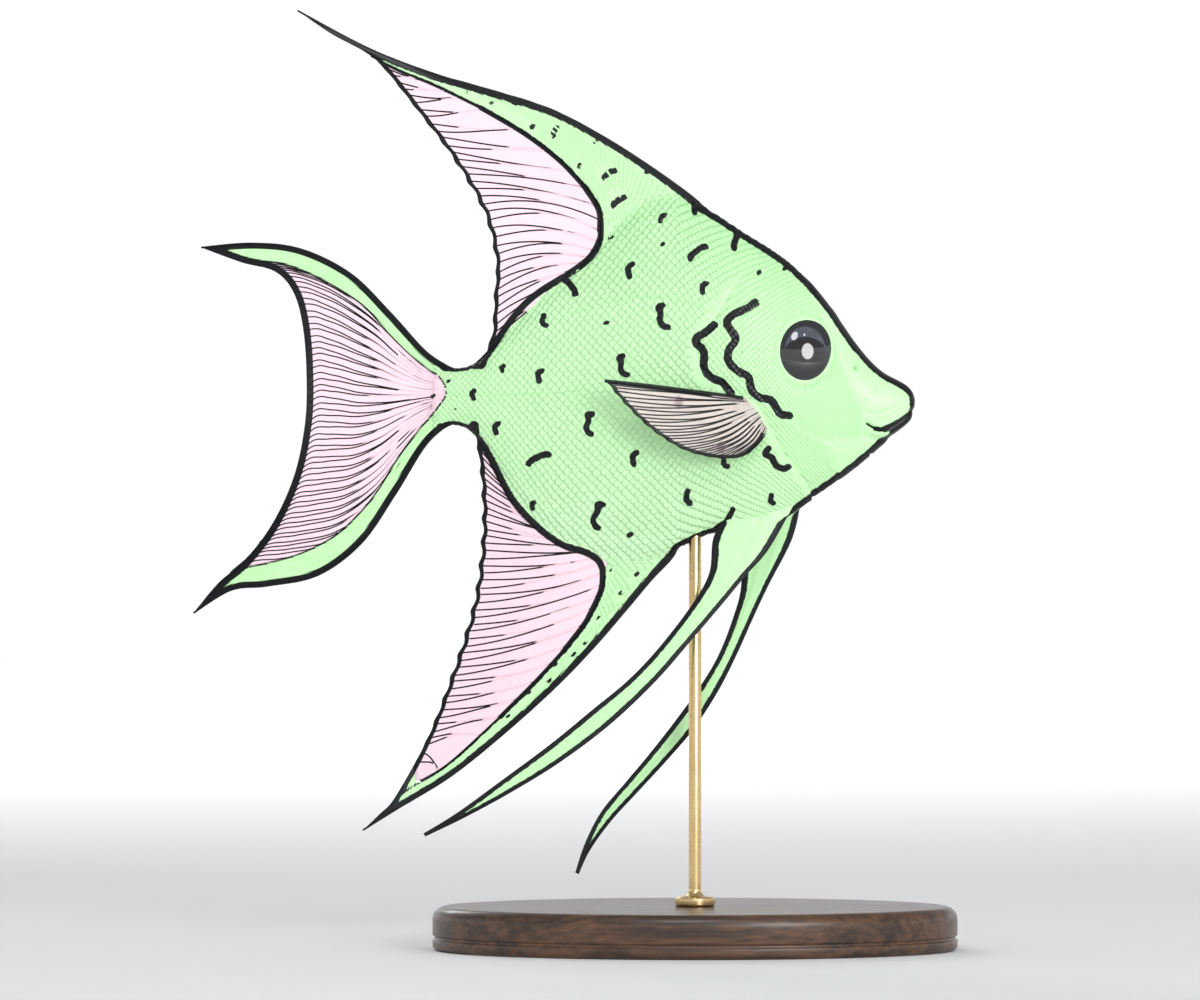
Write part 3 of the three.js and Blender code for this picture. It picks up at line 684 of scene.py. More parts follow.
def mouth_relief(s, t):
    """The mouth's cleft, the lips on both sides of it and the folds that frame them."""
    lips = folds(distance_to(dense(MOUTH), s, t)[0], LIPS, CLEFT, LIP_CREASE)
    fold = folds(distance_to(dense(LIP_FOLD), s, t)[0], LIP_GROOVE)
    chin = folds(distance_to(dense(CHIN_FOLD), s, t)[0], CHIN_GROOVE)
    return smooth(0.0, 0.5, s) * ((1 - smooth(7.2, 8.6, s)) * lips + fold + chin)


def eye_relief(s, t):
    """The soft ring of skin round the eye, and the socket behind the eyeball."""
    gap = (eye_share(s, t) - 1) * (EYE_LENGTH + EYE_HEIGHT) / 4
    return folds(gap, EYE_RING, EYE_FURROW) - SOCKET_DEPTH * smooth(-0.05, -0.9, gap)


def gill_relief(s, t):
    """The gill cover's free edge, and the cheek's edge in front of it."""
    gap, side = distance_to(dense(GILL_OPENING), s, t)
    edge, front = distance_to(dense(CHEEK_EDGE), s, t)
    return (brink(gap * side, *FLAP) + brink(-gap * side, *SLOT)
            + brink(edge * front, *CHEEK_RISE) + brink(-edge * front, *CHEEK_FALL))


def small_relief(s, t):
    """Nostrils, pores, the cheek's muscle, the bony brow and the hollow before the eye."""
    relief = folds(np.hypot(s - NOSTRIL[0], (t - NOSTRIL[1]) * 0.8), NOSTRIL_PIT, NOSTRIL_BRIM)
    for pore_s, pore_t in PORES:
        relief = relief + folds(np.hypot(s - pore_s, t - pore_t), PORE_PIT, PORE_BRIM)
    for height, middle_s, middle_t, half_s, half_t in MOUNDS:
        relief = relief + height * hill(s - middle_s, half_s) * hill(t - middle_t, half_t)
    return relief


def skin_relief(s, t):
    """How far the skin stands out of the smooth flesh, in millimetres."""
    relief = -COAT_DEPTH * (1 - nakedness(s, t))
    head = s < RELIEF_END
    for part in (mouth_relief, eye_relief, gill_relief, small_relief):
        relief[head] += part(s[head], t[head])
    return relief * (1 - smooth(FLESH_END - 3.0, FLESH_END, s))


def grid_normals(spots):
    """Outward unit normals of a closed grid of rings."""
    along = np.gradient(spots, axis=0)
    around = (np.roll(spots, -1, axis=1) - np.roll(spots, 1, axis=1)) / 2
    normal = np.cross(along, around)
    normal = normal / np.maximum(np.linalg.norm(normal, axis=-1, keepdims=True), TINY)
    middle = spots.mean(axis=1, keepdims=True)
    return normal * np.sign(np.sum(normal * (spots - middle)))


class Flesh:
    """The body's skin as a grid of rings, with any place on it found by s, arc and side."""

    def __init__(self):
        self.stations = ring_stations()
        t_half, w_half, self.lengths = ring_profiles(self.stations)
        self.t = np.concatenate([t_half, t_half[:, -2:0:-1]], axis=1)
        self.y = np.concatenate([w_half, -w_half[:, -2:0:-1]], axis=1)
        self.s = np.broadcast_to(self.stations[:, None], self.t.shape).copy()
        smooth_spots = place(self.s, self.y, self.t)
        self.relief = skin_relief(self.s, self.t)
        keel = np.abs(self.y) < 0.02
        self.relief[keel] = np.minimum(self.relief[keel], 0)
        risen = grid_normals(smooth_spots) * self.relief[..., None] * MM
        self.spots = smooth_spots + risen
        self.normals = grid_normals(self.spots)

    def reach(self, s):
        """How far the arc runs up and down from the widest level."""
        return (np.interp(s, self.stations, self.lengths[:, 0]),
                np.interp(s, self.stations, self.lengths[:, 1]))

    def look_up(self, grid, s, arc, side):
        """A grid's value at places on the skin, between its four nearest vertices.

        arc is measured up from the widest level.
        """
        up, down = self.reach(s)
        from_top = np.clip(QUARTER * (1 - arc / np.where(arc > 0, up, down)), 0, 2 * QUARTER)
        column = from_top if side == LEFT else RING_POINTS - from_top
        row = np.interp(s, self.stations, np.arange(len(self.stations)))
        r0 = np.clip(np.floor(row).astype(int), 0, len(self.stations) - 2)
        c0 = np.floor(column).astype(int)
        fr, fc = row - r0, column - c0
        if grid.ndim == 3:
            fr, fc = fr[..., None], fc[..., None]
        near, far = (grid[r, c0 % RING_POINTS] * (1 - fc) + grid[r, (c0 + 1) % RING_POINTS] * fc
                     for r in (r0, r0 + 1))
        return near * (1 - fr) + far * fr


def skin_mesh(flesh, material):
    """One closed skin for head, jaw, gill covers, trunk and tail stalk."""
    rows = len(flesh.stations)
    tip = np.mean(flesh.spots[0], axis=0)
    tip[0] = SNOUT_X * MM
    last = (rows - 1) * RING_POINTS
    k = np.arange(1, 2 * QUARTER - 1)
    quads = [grid_faces(rows, RING_POINTS, closed=True),
             last + np.stack([k, k + 1, RING_POINTS - k - 1, RING_POINTS - k], -1)]
    snout = fan(rows * RING_POINTS, 0, RING_POINTS)[:, [0, 2, 1]]
    ends = last + np.array([[0, 1, RING_POINTS - 1],
                            [2 * QUARTER, 2 * QUARTER + 1, 2 * QUARTER - 1]])
    s = np.append(flesh.s.ravel(), 0)
    t = np.append(flesh.t.ravel(), BACK[0][1])
    y = np.append(flesh.y.ravel(), 0)
    ink = np.where(y < 0, ink_at(s, t, RIGHT), ink_at(s, t, LEFT))
    shape = Shape()
    # groove is how far the relief sinks, and the material paints shade there: mouth cleft, gill
    # slot, pits, eye socket
    shape.add(np.vstack([flesh.spots.reshape(-1, 3), tip]), quads + [snout, ends],
              ink=ink, pink=pink_of(s, t), tone=0.5, height=t / BACK_HEIGHT,
              groove=np.append(np.minimum(flesh.relief.ravel() + 0.1, 0), 0))
    return shape.build("skin", material)


# ---- materials -------------------------------------------------------------------------------

INK = (0.006, 0.007, 0.009, 1)
INK_BLUR = 0.07  # half the width, in millimetres, over which a marking's edge fades
GREEN = (0.60, 0.98, 0.52, 1)
DEEP_GREEN = (0.42, 0.80, 0.36, 1)
PALE_GREEN = (0.72, 1.0, 0.64, 1)
MUTED_GREEN = (0.50, 0.90, 0.47, 1)
RIM_GREEN = (0.30, 0.58, 0.30, 1)
# painted shade: the dark green laid into the skin where its relief sinks
PAINTED_SHADE_GREEN = (0.16, 0.30, 0.14, 1)
PINK = (0.965, 0.737, 0.82, 1)
CLOUD_PINK = (0.93, 0.64, 0.75, 1)
RAY_PINK = (0.80, 0.50, 0.60, 1)
BEIGE = (0.83, 0.74, 0.68, 1)
MAUVE = (0.46, 0.31, 0.37, 1)
IRIS_DARK = (0.035, 0.041, 0.055, 1)
IRIS_PALE = (0.10, 0.112, 0.145, 1)
EYE_RIM_BLACK = (0.008, 0.009, 0.011, 1)
PUPIL_BLACK = (0.004, 0.004, 0.006, 1)
WOOD_DARK = (0.030, 0.013, 0.006, 1)
WOOD_PALE = (0.150, 0.066, 0.028, 1)
WOOD_PORE = (0.012, 0.006, 0.003, 1)
BRASS_PALE = (0.74, 0.54, 0.27, 1)
BRASS_DEEP = (0.60, 0.42, 0.20, 1)
PAPER = (0.93, 0.93, 0.93, 1)
FLESH_IOR = 1.38


class Shader:
    """A material's nodes, with short ways to make and join them."""

    def __init__(self, name):
        self.material = bpy.data.materials.new(name)
        self.material.use_nodes = True
        self.nodes = self.material.node_tree.nodes
        self.links = self.material.node_tree.links
        self.surface = self.nodes["Principled BSDF"]

    def put(self, socket, value):
        if isinstance(value, bpy.types.NodeSocket):
            self.links.new(value, socket)
        else:
            socket.default_value = value

    def set(self, **values):
        for name, value in values.items():
            self.put(self.surface.inputs[name.replace("_", " ")], value)

    def attribute(self, name):
        node = self.nodes.new("ShaderNodeAttribute")
        node.attribute_name = name
        return node.outputs["Fac"]

    def math(self, operation, *values):
        node = self.nodes.new("ShaderNodeMath")
        node.operation = operation
        for socket, value in zip(node.inputs, values):
            self.put(socket, value)
        return node.outputs[0]

    def times(self, value, factor):
        return self.math("MULTIPLY", value, factor)

    def ramp(self, value, low, high, start=0.0, end=1.0):
        """value from low..high brought smoothly to start..end."""
        node = self.nodes.new("ShaderNodeMapRange")
        node.interpolation_type = "SMOOTHSTEP"
        for socket, given in zip(node.inputs, (value, low, high, start, end)):
            self.put(socket, given)
        return node.outputs[0]

    def mix(self, factor, first, second):
        node = self.nodes.new("ShaderNodeMix")
        node.data_type = "RGBA"
        for number, value in ((0, factor), (6, first), (7, second)):
            self.put(node.inputs[number], value)
        return node.outputs[2]

    def inked(self, edge, colour):
        """The colour, with ink where the distance to the markings is below nought."""
        return self.mix(self.ramp(edge, INK_BLUR, -INK_BLUR), colour, INK)

    def noise(self, scale, detail=3.0, stretch=(1, 1, 1)):
        """Noise in the object's own space, in millimetres."""
        where = self.nodes.new("ShaderNodeTexCoord")
        mapping = self.nodes.new("ShaderNodeMapping")
        self.links.new(where.outputs["Object"], mapping.inputs["Vector"])
        mapping.inputs["Scale"].default_value = [axis / MM for axis in stretch]
        node = self.nodes.new("ShaderNodeTexNoise")
        self.links.new(mapping.outputs[0], node.inputs["Vector"])
        for name, value in (("Scale", scale), ("Detail", detail), ("Roughness", 0.55)):
            node.inputs[name].default_value = value
        return node.outputs["Fac"]

    def bump(self, height, distance, strength):
        """Fine relief; distance is its depth in millimetres."""
        node = self.nodes.new("ShaderNodeBump")
        node.inputs["Strength"].default_value = strength
        node.inputs["Distance"].default_value = distance * MM
        self.put(node.inputs["Height"], height)
        self.put(self.surface.inputs["Normal"], node.outputs[0])


def skin_material():
    """Wet fish skin: pale green, deeper on the back, with ink-black marbling and painted shade
    in its creases and pits.
    """
    shader = Shader("fish_skin")
    smoke = shader.ramp(shader.noise(0.11, 4.0), 0.48, 0.78)
    speckle = shader.noise(2.2, 2.0)
    height = shader.attribute("height")
    colour = shader.mix(shader.ramp(height, 0.35, 1.05, 0.0, 0.45), GREEN, DEEP_GREEN)
    for factor, tint in (
        (shader.ramp(height, -0.25, -0.9, 0.0, 0.6), PALE_GREEN),
        (shader.times(smoke, 0.22), DEEP_GREEN),
        (shader.times(shader.attribute("tone"), 0.14), MUTED_GREEN),
        (shader.times(speckle, 0.10), PALE_GREEN),
        # painted shade, darker the deeper the skin sinks into creases and pits
        (shader.ramp(shader.attribute("groove"), -0.02, -0.5, 0.0, 0.55), PAINTED_SHADE_GREEN),
        (shader.times(shader.attribute("rim"), 0.20), RIM_GREEN),
        (shader.ramp(shader.attribute("pink"), 0.02, 0.15), PINK),
    ):
        colour = shader.mix(factor, colour, tint)
    ragged = shader.times(shader.math("SUBTRACT", shader.noise(1.4, 2.0), 0.5), 0.35)
    edge = shader.math("ADD", shader.attribute("ink"), ragged)
    shader.set(Base_Color=shader.inked(edge, colour),
               Roughness=shader.ramp(speckle, 0.2, 0.8, 0.30, 0.44))
    shader.set(IOR=FLESH_IOR, Specular_IOR_Level=0.35, Coat_Weight=0.15, Coat_Roughness=0.12)
    shader.bump(shader.noise(5.0, 4.0), 0.05, 0.35)
    return shader.material


def membrane_material():
    """Thin fin membrane: pale pink, or green in the tail's lobes, with dark rays."""
    shader = Shader("fin_membrane")
    cloud = shader.ramp(shader.noise(0.25, 4.0), 0.35, 0.7)
    pink = shader.mix(shader.times(cloud, 0.25), PINK, CLOUD_PINK)
    pink = shader.mix(shader.times(shader.attribute("ray"), 0.35), pink, RAY_PINK)
    green = shader.mix(shader.times(cloud, 0.3), GREEN, DEEP_GREEN)
    colour = shader.mix(shader.ramp(shader.attribute("pink"), -0.08, 0.08), green, pink)
    shader.set(Base_Color=shader.inked(shader.attribute("ink"), colour),
               Roughness=shader.ramp(shader.noise(3.0), 0.2, 0.8, 0.45, 0.6))
    shader.set(IOR=FLESH_IOR, Specular_IOR_Level=0.25, Coat_Weight=0.06, Coat_Roughness=0.2)
    shader.bump(shader.noise(6.0, 3.0), 0.03, 0.3)
    return shader.material


def pectoral_material():
    """The clear pectoral fins: beige film between dark rays, partly see-through."""
    shader = Shader("pectoral_membrane")
    cloud = shader.ramp(shader.noise(0.5, 3.0), 0.5, 0.72)
    blotch = shader.ramp(shader.attribute("pink"), 0.3, 0.7, 0.0, 0.8)
    colour = shader.mix(shader.times(cloud, 0.2), BEIGE, MAUVE)
    colour = shader.mix(blotch, colour, MAUVE)
    shader.set(Base_Color=shader.inked(shader.attribute("ink"), colour))
    shader.set(Roughness=0.4, Alpha=0.8)
    shader.set(IOR=FLESH_IOR, Specular_IOR_Level=0.35, Coat_Weight=0.15, Coat_Roughness=0.2)
    return shader.material


def eye_material():
    """A wet, dark eye: black pupil, slate iris, dark rim."""
    shader = Shader("eye")
    fibre = shader.noise(1.1, 4.0)
    ring = shader.times(shader.math("SINE", shader.times(shader.attribute("turn"), 46)), 0.10)
    iris = shader.mix(shader.math("ADD", fibre, ring), IRIS_DARK, IRIS_PALE)
    rim = shader.ramp(shader.attribute("share"), EYE_RIM, EYE_RIM + 0.07)
    pupil = shader.ramp(shader.attribute("pupil"), 0.03, -0.01)
    colour = shader.mix(pupil, shader.mix(rim, iris, EYE_RIM_BLACK), PUPIL_BLACK)
    shader.set(Base_Color=colour, Roughness=0.06, IOR=1.5)
    shader.set(Coat_Weight=1.0, Coat_Roughness=0.02)
    return shader.material


def wood_material():
    """Dark stained hardwood, its grain running along the base."""
    shader = Shader("hardwood")
    broad = shader.noise(0.05, 3.0, (0.25, 3.0, 3.0))
    fine = shader.noise(0.9, 4.0, (0.06, 1.6, 1.6))
    pores = shader.noise(3.2, 2.0, (0.05, 1.4, 1.4))
    rings = shader.math("SINE", shader.times(broad, 24))
    grain = shader.math("ADD", shader.times(rings, 0.12), fine)
    dark = shader.ramp(pores, 0.62, 0.75, 0.0, 0.6)
    colour = shader.mix(shader.ramp(grain, 0.25, 0.95), WOOD_DARK, WOOD_PALE)
    shader.set(Base_Color=shader.mix(dark, colour, WOOD_PORE),
               Roughness=shader.ramp(fine, 0.2, 0.8, 0.34, 0.5))
    shader.set(Coat_Weight=0.3, Coat_Roughness=0.2)
    shader.bump(shader.math("SUBTRACT", fine, shader.times(dark, 0.6)), 0.08, 0.4)
    return shader.material


def brass_material():
    """Lacquered brass, brushed round the rod."""
    shader = Shader("brass")
    brush = shader.noise(2.0, 3.0, (0.5, 0.5, 7.0))
    cloud = shader.ramp(shader.noise(0.12, 3.0), 0.3, 0.75)
    shader.set(Base_Color=shader.mix(cloud, BRASS_PALE, BRASS_DEEP), Metallic=1.0,
               Roughness=shader.ramp(brush, 0.2, 0.8, 0.18, 0.34))
    shader.bump(brush, 0.012, 0.3)
    return shader.material


# ---- stage -----------------------------------------------------------------------------------

CAMERA_AT = (-0.0152, -1.2, 0.072)
LENS, SENSOR = 225, 36  # millimetres
NEAREST, FARTHEST = 0.05, 20  # what the camera sees lies between these distances
AIM = (0, 0, 0.08)  # where the lamps point
LAMPS = [  # name, place, size and power
    ("key", (0.44, -0.87, 0.29), 0.40, 3.4),
    ("upper", (-0.05, -0.79, 0.71), 0.28, 1.6),
    ("spark", (0.32, -0.75, 0.70), 0.06, 0.12),
    ("behind", (-0.7, 1.3, 0.9), 0.5, 4.0),
]
WALL_LAMP_OUT, WALL_LAMP_HEIGHT, WALL_LAMP_SIZE, WALL_LAMP_POWER = 0.9, 1.4, 0.9, 24
WALL_OUT, WALL_HEIGHT = 3, 0.4  # where they point
STAGE_RINGS = (0.3, 1.2)  # the floor's inner rings of vertices
STAGE_FLAT, STAGE_RIM, STAGE_HEIGHT = 2.1, 3.0, 0.9
SKY = (0.95, 0.97, 1.0, 1)
SKY_STRENGTH = 0.49


def camera():
    """A long lens, level and square on to the fish's right side."""
    scene = bpy.context.scene
    lens = bpy.data.cameras.new("camera")
    scene.camera = bpy.data.objects.new("camera", lens)
    scene.collection.objects.link(scene.camera)
    scene.camera.location = CAMERA_AT
    scene.camera.rotation_euler = (math.radians(90), 0, 0)
    lens.sensor_width = SENSOR
    lens.lens = LENS
    lens.clip_start = NEAREST
    lens.clip_end = FARTHEST
    scene.view_settings.view_transform = "Standard"


def area_light(name, spot, aim, size, power):
    """A disk lamp that points at aim, and that the camera doesn't see."""
    data = bpy.data.lights.new(name, "AREA")
    data.shape = "DISK"
    data.size = size
    data.energy = power
    lamp = bpy.data.objects.new(name, data)
    lamp.location = spot
    lamp.rotation_euler = (Vector(aim) - Vector(spot)).to_track_quat("-Z", "Y").to_euler()
    lamp.visible_camera = False
    bpy.context.scene.collection.objects.link(lamp)


def floor():
    """A pale floor whose far edge curves up."""
    steps = 96
    up = np.linspace(0, math.pi / 2, 14)[1:]
    curved = STAGE_FLAT + (STAGE_RIM - STAGE_FLAT) * np.sin(up)
    radii = [*STAGE_RINGS, STAGE_FLAT, *curved]
    heights = [0, 0, 0, *(STAGE_HEIGHT * (1 - np.cos(up)))]
    ring = np.stack([np.cos(turns(steps)), np.sin(turns(steps))], -1)
    spots = [np.column_stack([ring * r, np.full(steps, h)]) for r, h in zip(radii, heights)]
    shape = Shape()
    rings = grid_faces(len(radii), steps, closed=True)[:, ::-1]
    shape.add(np.vstack([*spots, [[0, 0, 0]]]), [rings, fan(len(radii) * steps, 0, steps)])
    shader = Shader("paper")
    shader.set(Base_Color=PAPER, Roughness=0.9)
    shape.build("floor", shader.material, closed=False)


def lights():
    """Soft studio light from a dim sky and disk lamps, four of them on the wall."""
    world = bpy.data.worlds.new("studio")
    world.use_nodes = True
    sky = world.node_tree.nodes["Background"]
    sky.inputs["Color"].default_value = SKY
    sky.inputs["Strength"].default_value = SKY_STRENGTH
    bpy.context.scene.world = world
    for name, spot, size, power in LAMPS:
        area_light(name, spot, AIM, size, power)
    for number in range(4):
        turn = number * math.pi / 2
        ahead = Vector((math.cos(turn), math.sin(turn), 0))
        area_light(f"wall_{number}", ahead * WALL_LAMP_OUT + Vector((0, 0, WALL_LAMP_HEIGHT)),
                   ahead * WALL_OUT + Vector((0, 0, WALL_HEIGHT)), WALL_LAMP_SIZE,
                   WALL_LAMP_POWER)


# ---- scales ----------------------------------------------------------------------------------

SCALE_LENGTH = 1.32  # from one scale to the next along the flank
SCALE_ROW = 0.78  # between neighbouring rows of scales on the flank
SCALE_SIZE = [
    (6, 0.40), (12, 0.44), (16, 0.50), (24, 0.62), (31, 0.80), (38, 1.0), (58, 1.0),
    (68, 0.82), (FLESH_END, 0.60),
]
SCALE_START = 6.5  # no scale sits before this s
SCALE_STOP = FLESH_END - 0.3  # nor behind this one
EDGE_GAP = 0.35  # nor nearer than this to the body's edge, in rows
EYE_CLEAR = 1.2  # nor nearer than this to the eye, as a share of its outline
BARE_FROM = 0.4  # nor where the skin is this naked
SCALE_REACH = np.array([0.80, 1.06])  # a scale's half length and height, in lattice steps
SCALE_SIDES = 12
SCALE_RINGS = (0.62, 1.0)
SCALE_ROOT = -0.09  # the hidden front edge, under the skin
SCALE_LIP = 0.15  # the free rear edge, above the skin
SCALE_DOME = 0.03
SCALE_RIM = 0.05
SCALE_LEAST = 0.5  # the smallest size that a scale's thickness is worked out for
UNEVEN = 0.05  # how far scales differ in size and place, in lattice steps
FLAP_MARGIN = 1.12  # bare skin along the gill cover's free edge, for scales of full size
SLOT_MARGIN = 0.3  # the same behind the edge, where scales slip under the cover
TUCK = 0.7  # how far under the gill cover's surface those scales lie
NAPE_END, NAPE_FROM = 28.8, 17.0  # over the gill opening the head's coat ends at this s
COVER_END, COVER_TOP = 35, 17.5  # below this t the head's coat ends at the opening
REAR_START = 51.0  # where the body's coat is parted from the rear's
UNWRAP = 80.0  # millimetres of skin across the coat's UV square
UV_PATCH = 0.0015  # half the width of one scale's patch
UV_ORIGIN = np.array([0.02, 0.47])

LATERAL_LINE = [
    [(34.0, 14.2), (38, 15.4), (45, 15.6), (52, 14.2), (58, 12.4)],
    [(54, 0.8), (62, 0.4), (70, 0.2), (74.0, 0.1)],
]
LINE_PITCH = 1.25  # from one tube of the lateral line to the next
LINE_TUBE = 0.75  # a tube's length
LINE_THICK = np.array([0.05, 0.13, 0.15, 0.14, 0.08])  # its half width, from end to end
LINE_RISE = 0.13  # its middle's height above the skin

scale_size_at = linear(SCALE_SIZE)
LATTICE_S = np.linspace(5, FLESH_END + 2, 2000)
LATTICE_STEP = np.concatenate([[0], np.cumsum(
    np.diff(LATTICE_S) / (SCALE_LENGTH * scale_size_at(LATTICE_S[1:])))])


def lattice_place(step, row):
    """The s and arc of a place in the lattice of scales."""
    s = np.interp(step, LATTICE_STEP, LATTICE_S)
    return s, row * SCALE_ROW * scale_size_at(s)


def scale_centres(flesh, side):
    """The middles of one side's scales, as lattice steps and rows, and the coat they are in."""
    rows = np.arange(-60, 75)
    steps = np.arange(0, int(LATTICE_STEP[-1]) + 1)
    row, step = (grid.ravel() for grid in np.meshgrid(rows, steps))
    step = step + 0.5 * (row % 2)
    s, arc = lattice_place(step, row)
    up, down = flesh.reach(s)
    edge = EDGE_GAP * SCALE_ROW * scale_size_at(s)
    keep = (arc < up - edge) & (arc > edge - down) & (s < SCALE_STOP) & (s > SCALE_START)
    step, row, s, arc = step[keep], row[keep], s[keep], arc[keep]
    t = flesh.look_up(flesh.t, s, arc, side)
    gill, gill_side = distance_to(dense(GILL_OPENING), s, t)
    keep = (nakedness(s, t) < BARE_FROM) & (eye_share(s, t) > EYE_CLEAR)
    keep &= pink_of(s, t) < 0
    keep &= gill > np.where(gill_side > 0, FLAP_MARGIN * scale_size_at(s), SLOT_MARGIN)
    in_nape = (s < NAPE_END) & (t > NAPE_FROM)
    in_head = in_nape | (gill_side > 0) & (t <= COVER_TOP) & (s < COVER_END)
    coat_number = np.where(in_head, 0, np.where(s < REAR_START, 1, 2))
    return step[keep], row[keep], coat_number[keep]


def scale_plate():
    """One scale's local points (rear, up), from -1 to 1, and its soft and its flat faces."""
    circle = np.stack([np.cos(turns(SCALE_SIDES)), np.sin(turns(SCALE_SIDES))], -1)
    points = np.vstack([[(0, 0)], *(circle * share for share in SCALE_RINGS), circle])
    j = np.arange(SCALE_SIDES)
    after = (j + 1) % SCALE_SIDES
    inner, outer, under = 1, 1 + SCALE_SIDES, 1 + 2 * SCALE_SIDES
    top = np.stack([inner + j, outer + j, outer + after, inner + after], -1)
    rim = np.stack([outer + j, under + j, under + after, outer + after], -1)
    k = np.arange(SCALE_SIDES // 2 - 1)
    last = SCALE_SIDES - 1
    base = under + np.stack([k, last - k, last - k - 1, k + 1], -1)
    return points, [fan(0, inner, SCALE_SIDES), top], [rim, base]


PLATE, PLATE_SOFT, PLATE_FLAT = scale_plate()
PLATE_BACK = (PLATE[:, 0] + 1) / 2  # 0 at a scale's root, 1 at its free edge
PLATE_RADIUS = np.hypot(*PLATE.T)
PLATE_UNDER = np.arange(len(PLATE)) >= len(PLATE) - SCALE_SIDES
PLATE_RIM = (PLATE_RADIUS > 0.9) & (PLATE[:, 0] > -0.2)


def add_plates(shape, spots, root_uv, **values):
    """Adds scales: spots is scales x points x 3, and the values follow its first two axes."""
    count, each = spots.shape[:2]
    offsets = np.arange(count)[:, None, None] * each

    def repeated(groups):
        return [(group[None] + offsets).reshape(-1, group.shape[1]) for group in groups]

    spread = {key: np.broadcast_to(value, (count, each)) for key, value in values.items()}
    patch = np.clip(root_uv + PLATE * UV_PATCH, 0, 1)
    shape.add(spots, repeated(PLATE_SOFT), flat=repeated(PLATE_FLAT),
              patch=patch.reshape(-1, 2), rim=np.tile(PLATE_RIM, count), **spread)


def scales(flesh, side, step, row, draw):
    """A joined mesh of scale plates, one for each lattice place."""
    count = len(step)
    reach = 1 + draw.uniform(-UNEVEN, UNEVEN, (count, 1))
    nudge = draw.uniform(-UNEVEN, UNEVEN, (count, 2))
    along, across = np.moveaxis(PLATE * SCALE_REACH * reach[..., None] + nudge[:, None], -1, 0)
    s, arc = lattice_place(step[:, None] + along, row[:, None] + across)
    s_mid, arc_mid = lattice_place(step, row)
    size = np.maximum(scale_size_at(s_mid), SCALE_LEAST)[:, None]
    lip = SCALE_LIP * (1 + draw.uniform(-0.12, 0.0, (count, 1)))
    height = SCALE_ROOT + (lip - SCALE_ROOT) * PLATE_BACK + SCALE_DOME * (1 - PLATE_RADIUS**2)
    height = height * size**0.6 - SCALE_RIM * PLATE_UNDER
    s = np.minimum(s, FLESH_END - 0.02)
    t = flesh.look_up(flesh.t, s, arc, side)
    t_mid = flesh.look_up(flesh.t, s_mid, arc_mid, side)
    gill, gill_side = distance_to(dense(GILL_OPENING), s_mid, t_mid)
    behind = (gill < SCALE_LENGTH) & (gill_side < 0)
    height[behind] -= TUCK * (distance_to(dense(GILL_OPENING), s[behind], t[behind])[1] > 0)
    spots = flesh.look_up(flesh.spots, s, arc, side)
    spots = spots + flesh.look_up(flesh.normals, s, arc, side) * height[..., None] * MM
    root_uv = UV_ORIGIN + np.stack([s_mid, arc_mid], -1)[:, None] / UNWRAP
    shape = Shape()
    add_plates(shape, spots, root_uv, ink=ink_at(s, t, side), pink=pink_of(s, t),
               height=t / BACK_HEIGHT, tone=draw.uniform(0, 1, count)[:, None])
    return shape


def lateral_line(flesh, side, shape, line):
    """The small tubes of one lateral line, one on each scale that it crosses."""
    grid_arc = np.linspace(-20, 28, 600)
    route = curve(line)
    even = np.linspace(0, 1, len(LINE_THICK))[:, None]
    for share in np.arange(0, 1, LINE_PITCH / route.length):
        flat_ends = route(np.array([share, share + LINE_TUBE / route.length]))
        ends = []
        for s, t in flat_ends:
            heights = flesh.look_up(flesh.t, np.full(600, s), grid_arc, side)
            where = np.array([s]), np.array([np.interp(t, heights, grid_arc)]), side
            normal = flesh.look_up(flesh.normals, *where)[0]
            ends.append(flesh.look_up(flesh.spots, *where)[0] + normal * LINE_RISE * MM)
        s, t = (flat_ends[0] + (flat_ends[1] - flat_ends[0]) * even).T
        root_uv = (0.02 + s[0] / UNWRAP, 0.02 + 0.9 * abs(t[0]) / UNWRAP)
        # the tubes take a little of the same painted shade as the skin's creases
        tube(shape, ends[0] + (ends[1] - ends[0]) * even, LINE_THICK, LINE_THICK * 0.8,
             patch_at=root_uv, ink=ink_at(s, t, side), height=t[0] / BACK_HEIGHT, tone=0.9,
             groove=-0.12)


def tube(shape, path, wide, thick, sides=6, patch_at=None, **values):
    """A closed tube along a path in metres; wide is its half width in the fish's plane."""
    count = len(path)
    heading = np.gradient(path, axis=0)
    across = np.cross(heading, [0, 1, 0])
    across /= np.maximum(np.linalg.norm(across, axis=1, keepdims=True), TINY)
    heading /= np.maximum(np.linalg.norm(heading, axis=1, keepdims=True), TINY)
    out = np.cross(across, heading)
    turn = turns(sides)[None, :, None]
    wide = np.broadcast_to(wide, (count,))[:, None, None] * MM
    thick = np.broadcast_to(thick, (count,))[:, None, None] * MM
    rings = (path[:, None] + np.cos(turn) * across[:, None] * wide
             + np.sin(turn) * out[:, None] * thick)
    spots = np.vstack([rings.reshape(-1, 3), path[:1], path[-1:]])
    spread = {}
    for name, value in values.items():
        if np.ndim(value):
            value = np.concatenate([np.repeat(value, sides), value[:1], value[-1:]])
        spread[name] = value
    patch = None if patch_at is None else np.tile(patch_at, (len(spots), 1))
    shape.add(spots, [grid_faces(count, sides, closed=True), end_fans(count, sides)],
              patch=patch, **spread)


def coat(flesh, material):
    """The scales, in one joined mesh for each side of the head, the body and the rear."""
    draw = np.random.default_rng(RNG_SEED)
    for side, word in ((RIGHT, "right"), (LEFT, "left")):
        step, row, coat_number = scale_centres(flesh, side)
        for number, part in enumerate(("head", "body", "rear")):
            chosen = coat_number == number
            shape = scales(flesh, side, step[chosen], row[chosen], draw)
            if number:
                lateral_line(flesh, side, shape, LATERAL_LINE[number - 1])
            install(shape.build(f"coat_{part}_{word}", material, uv=True), "skin")


# ---- fins ------------------------------------------------------------------------------------

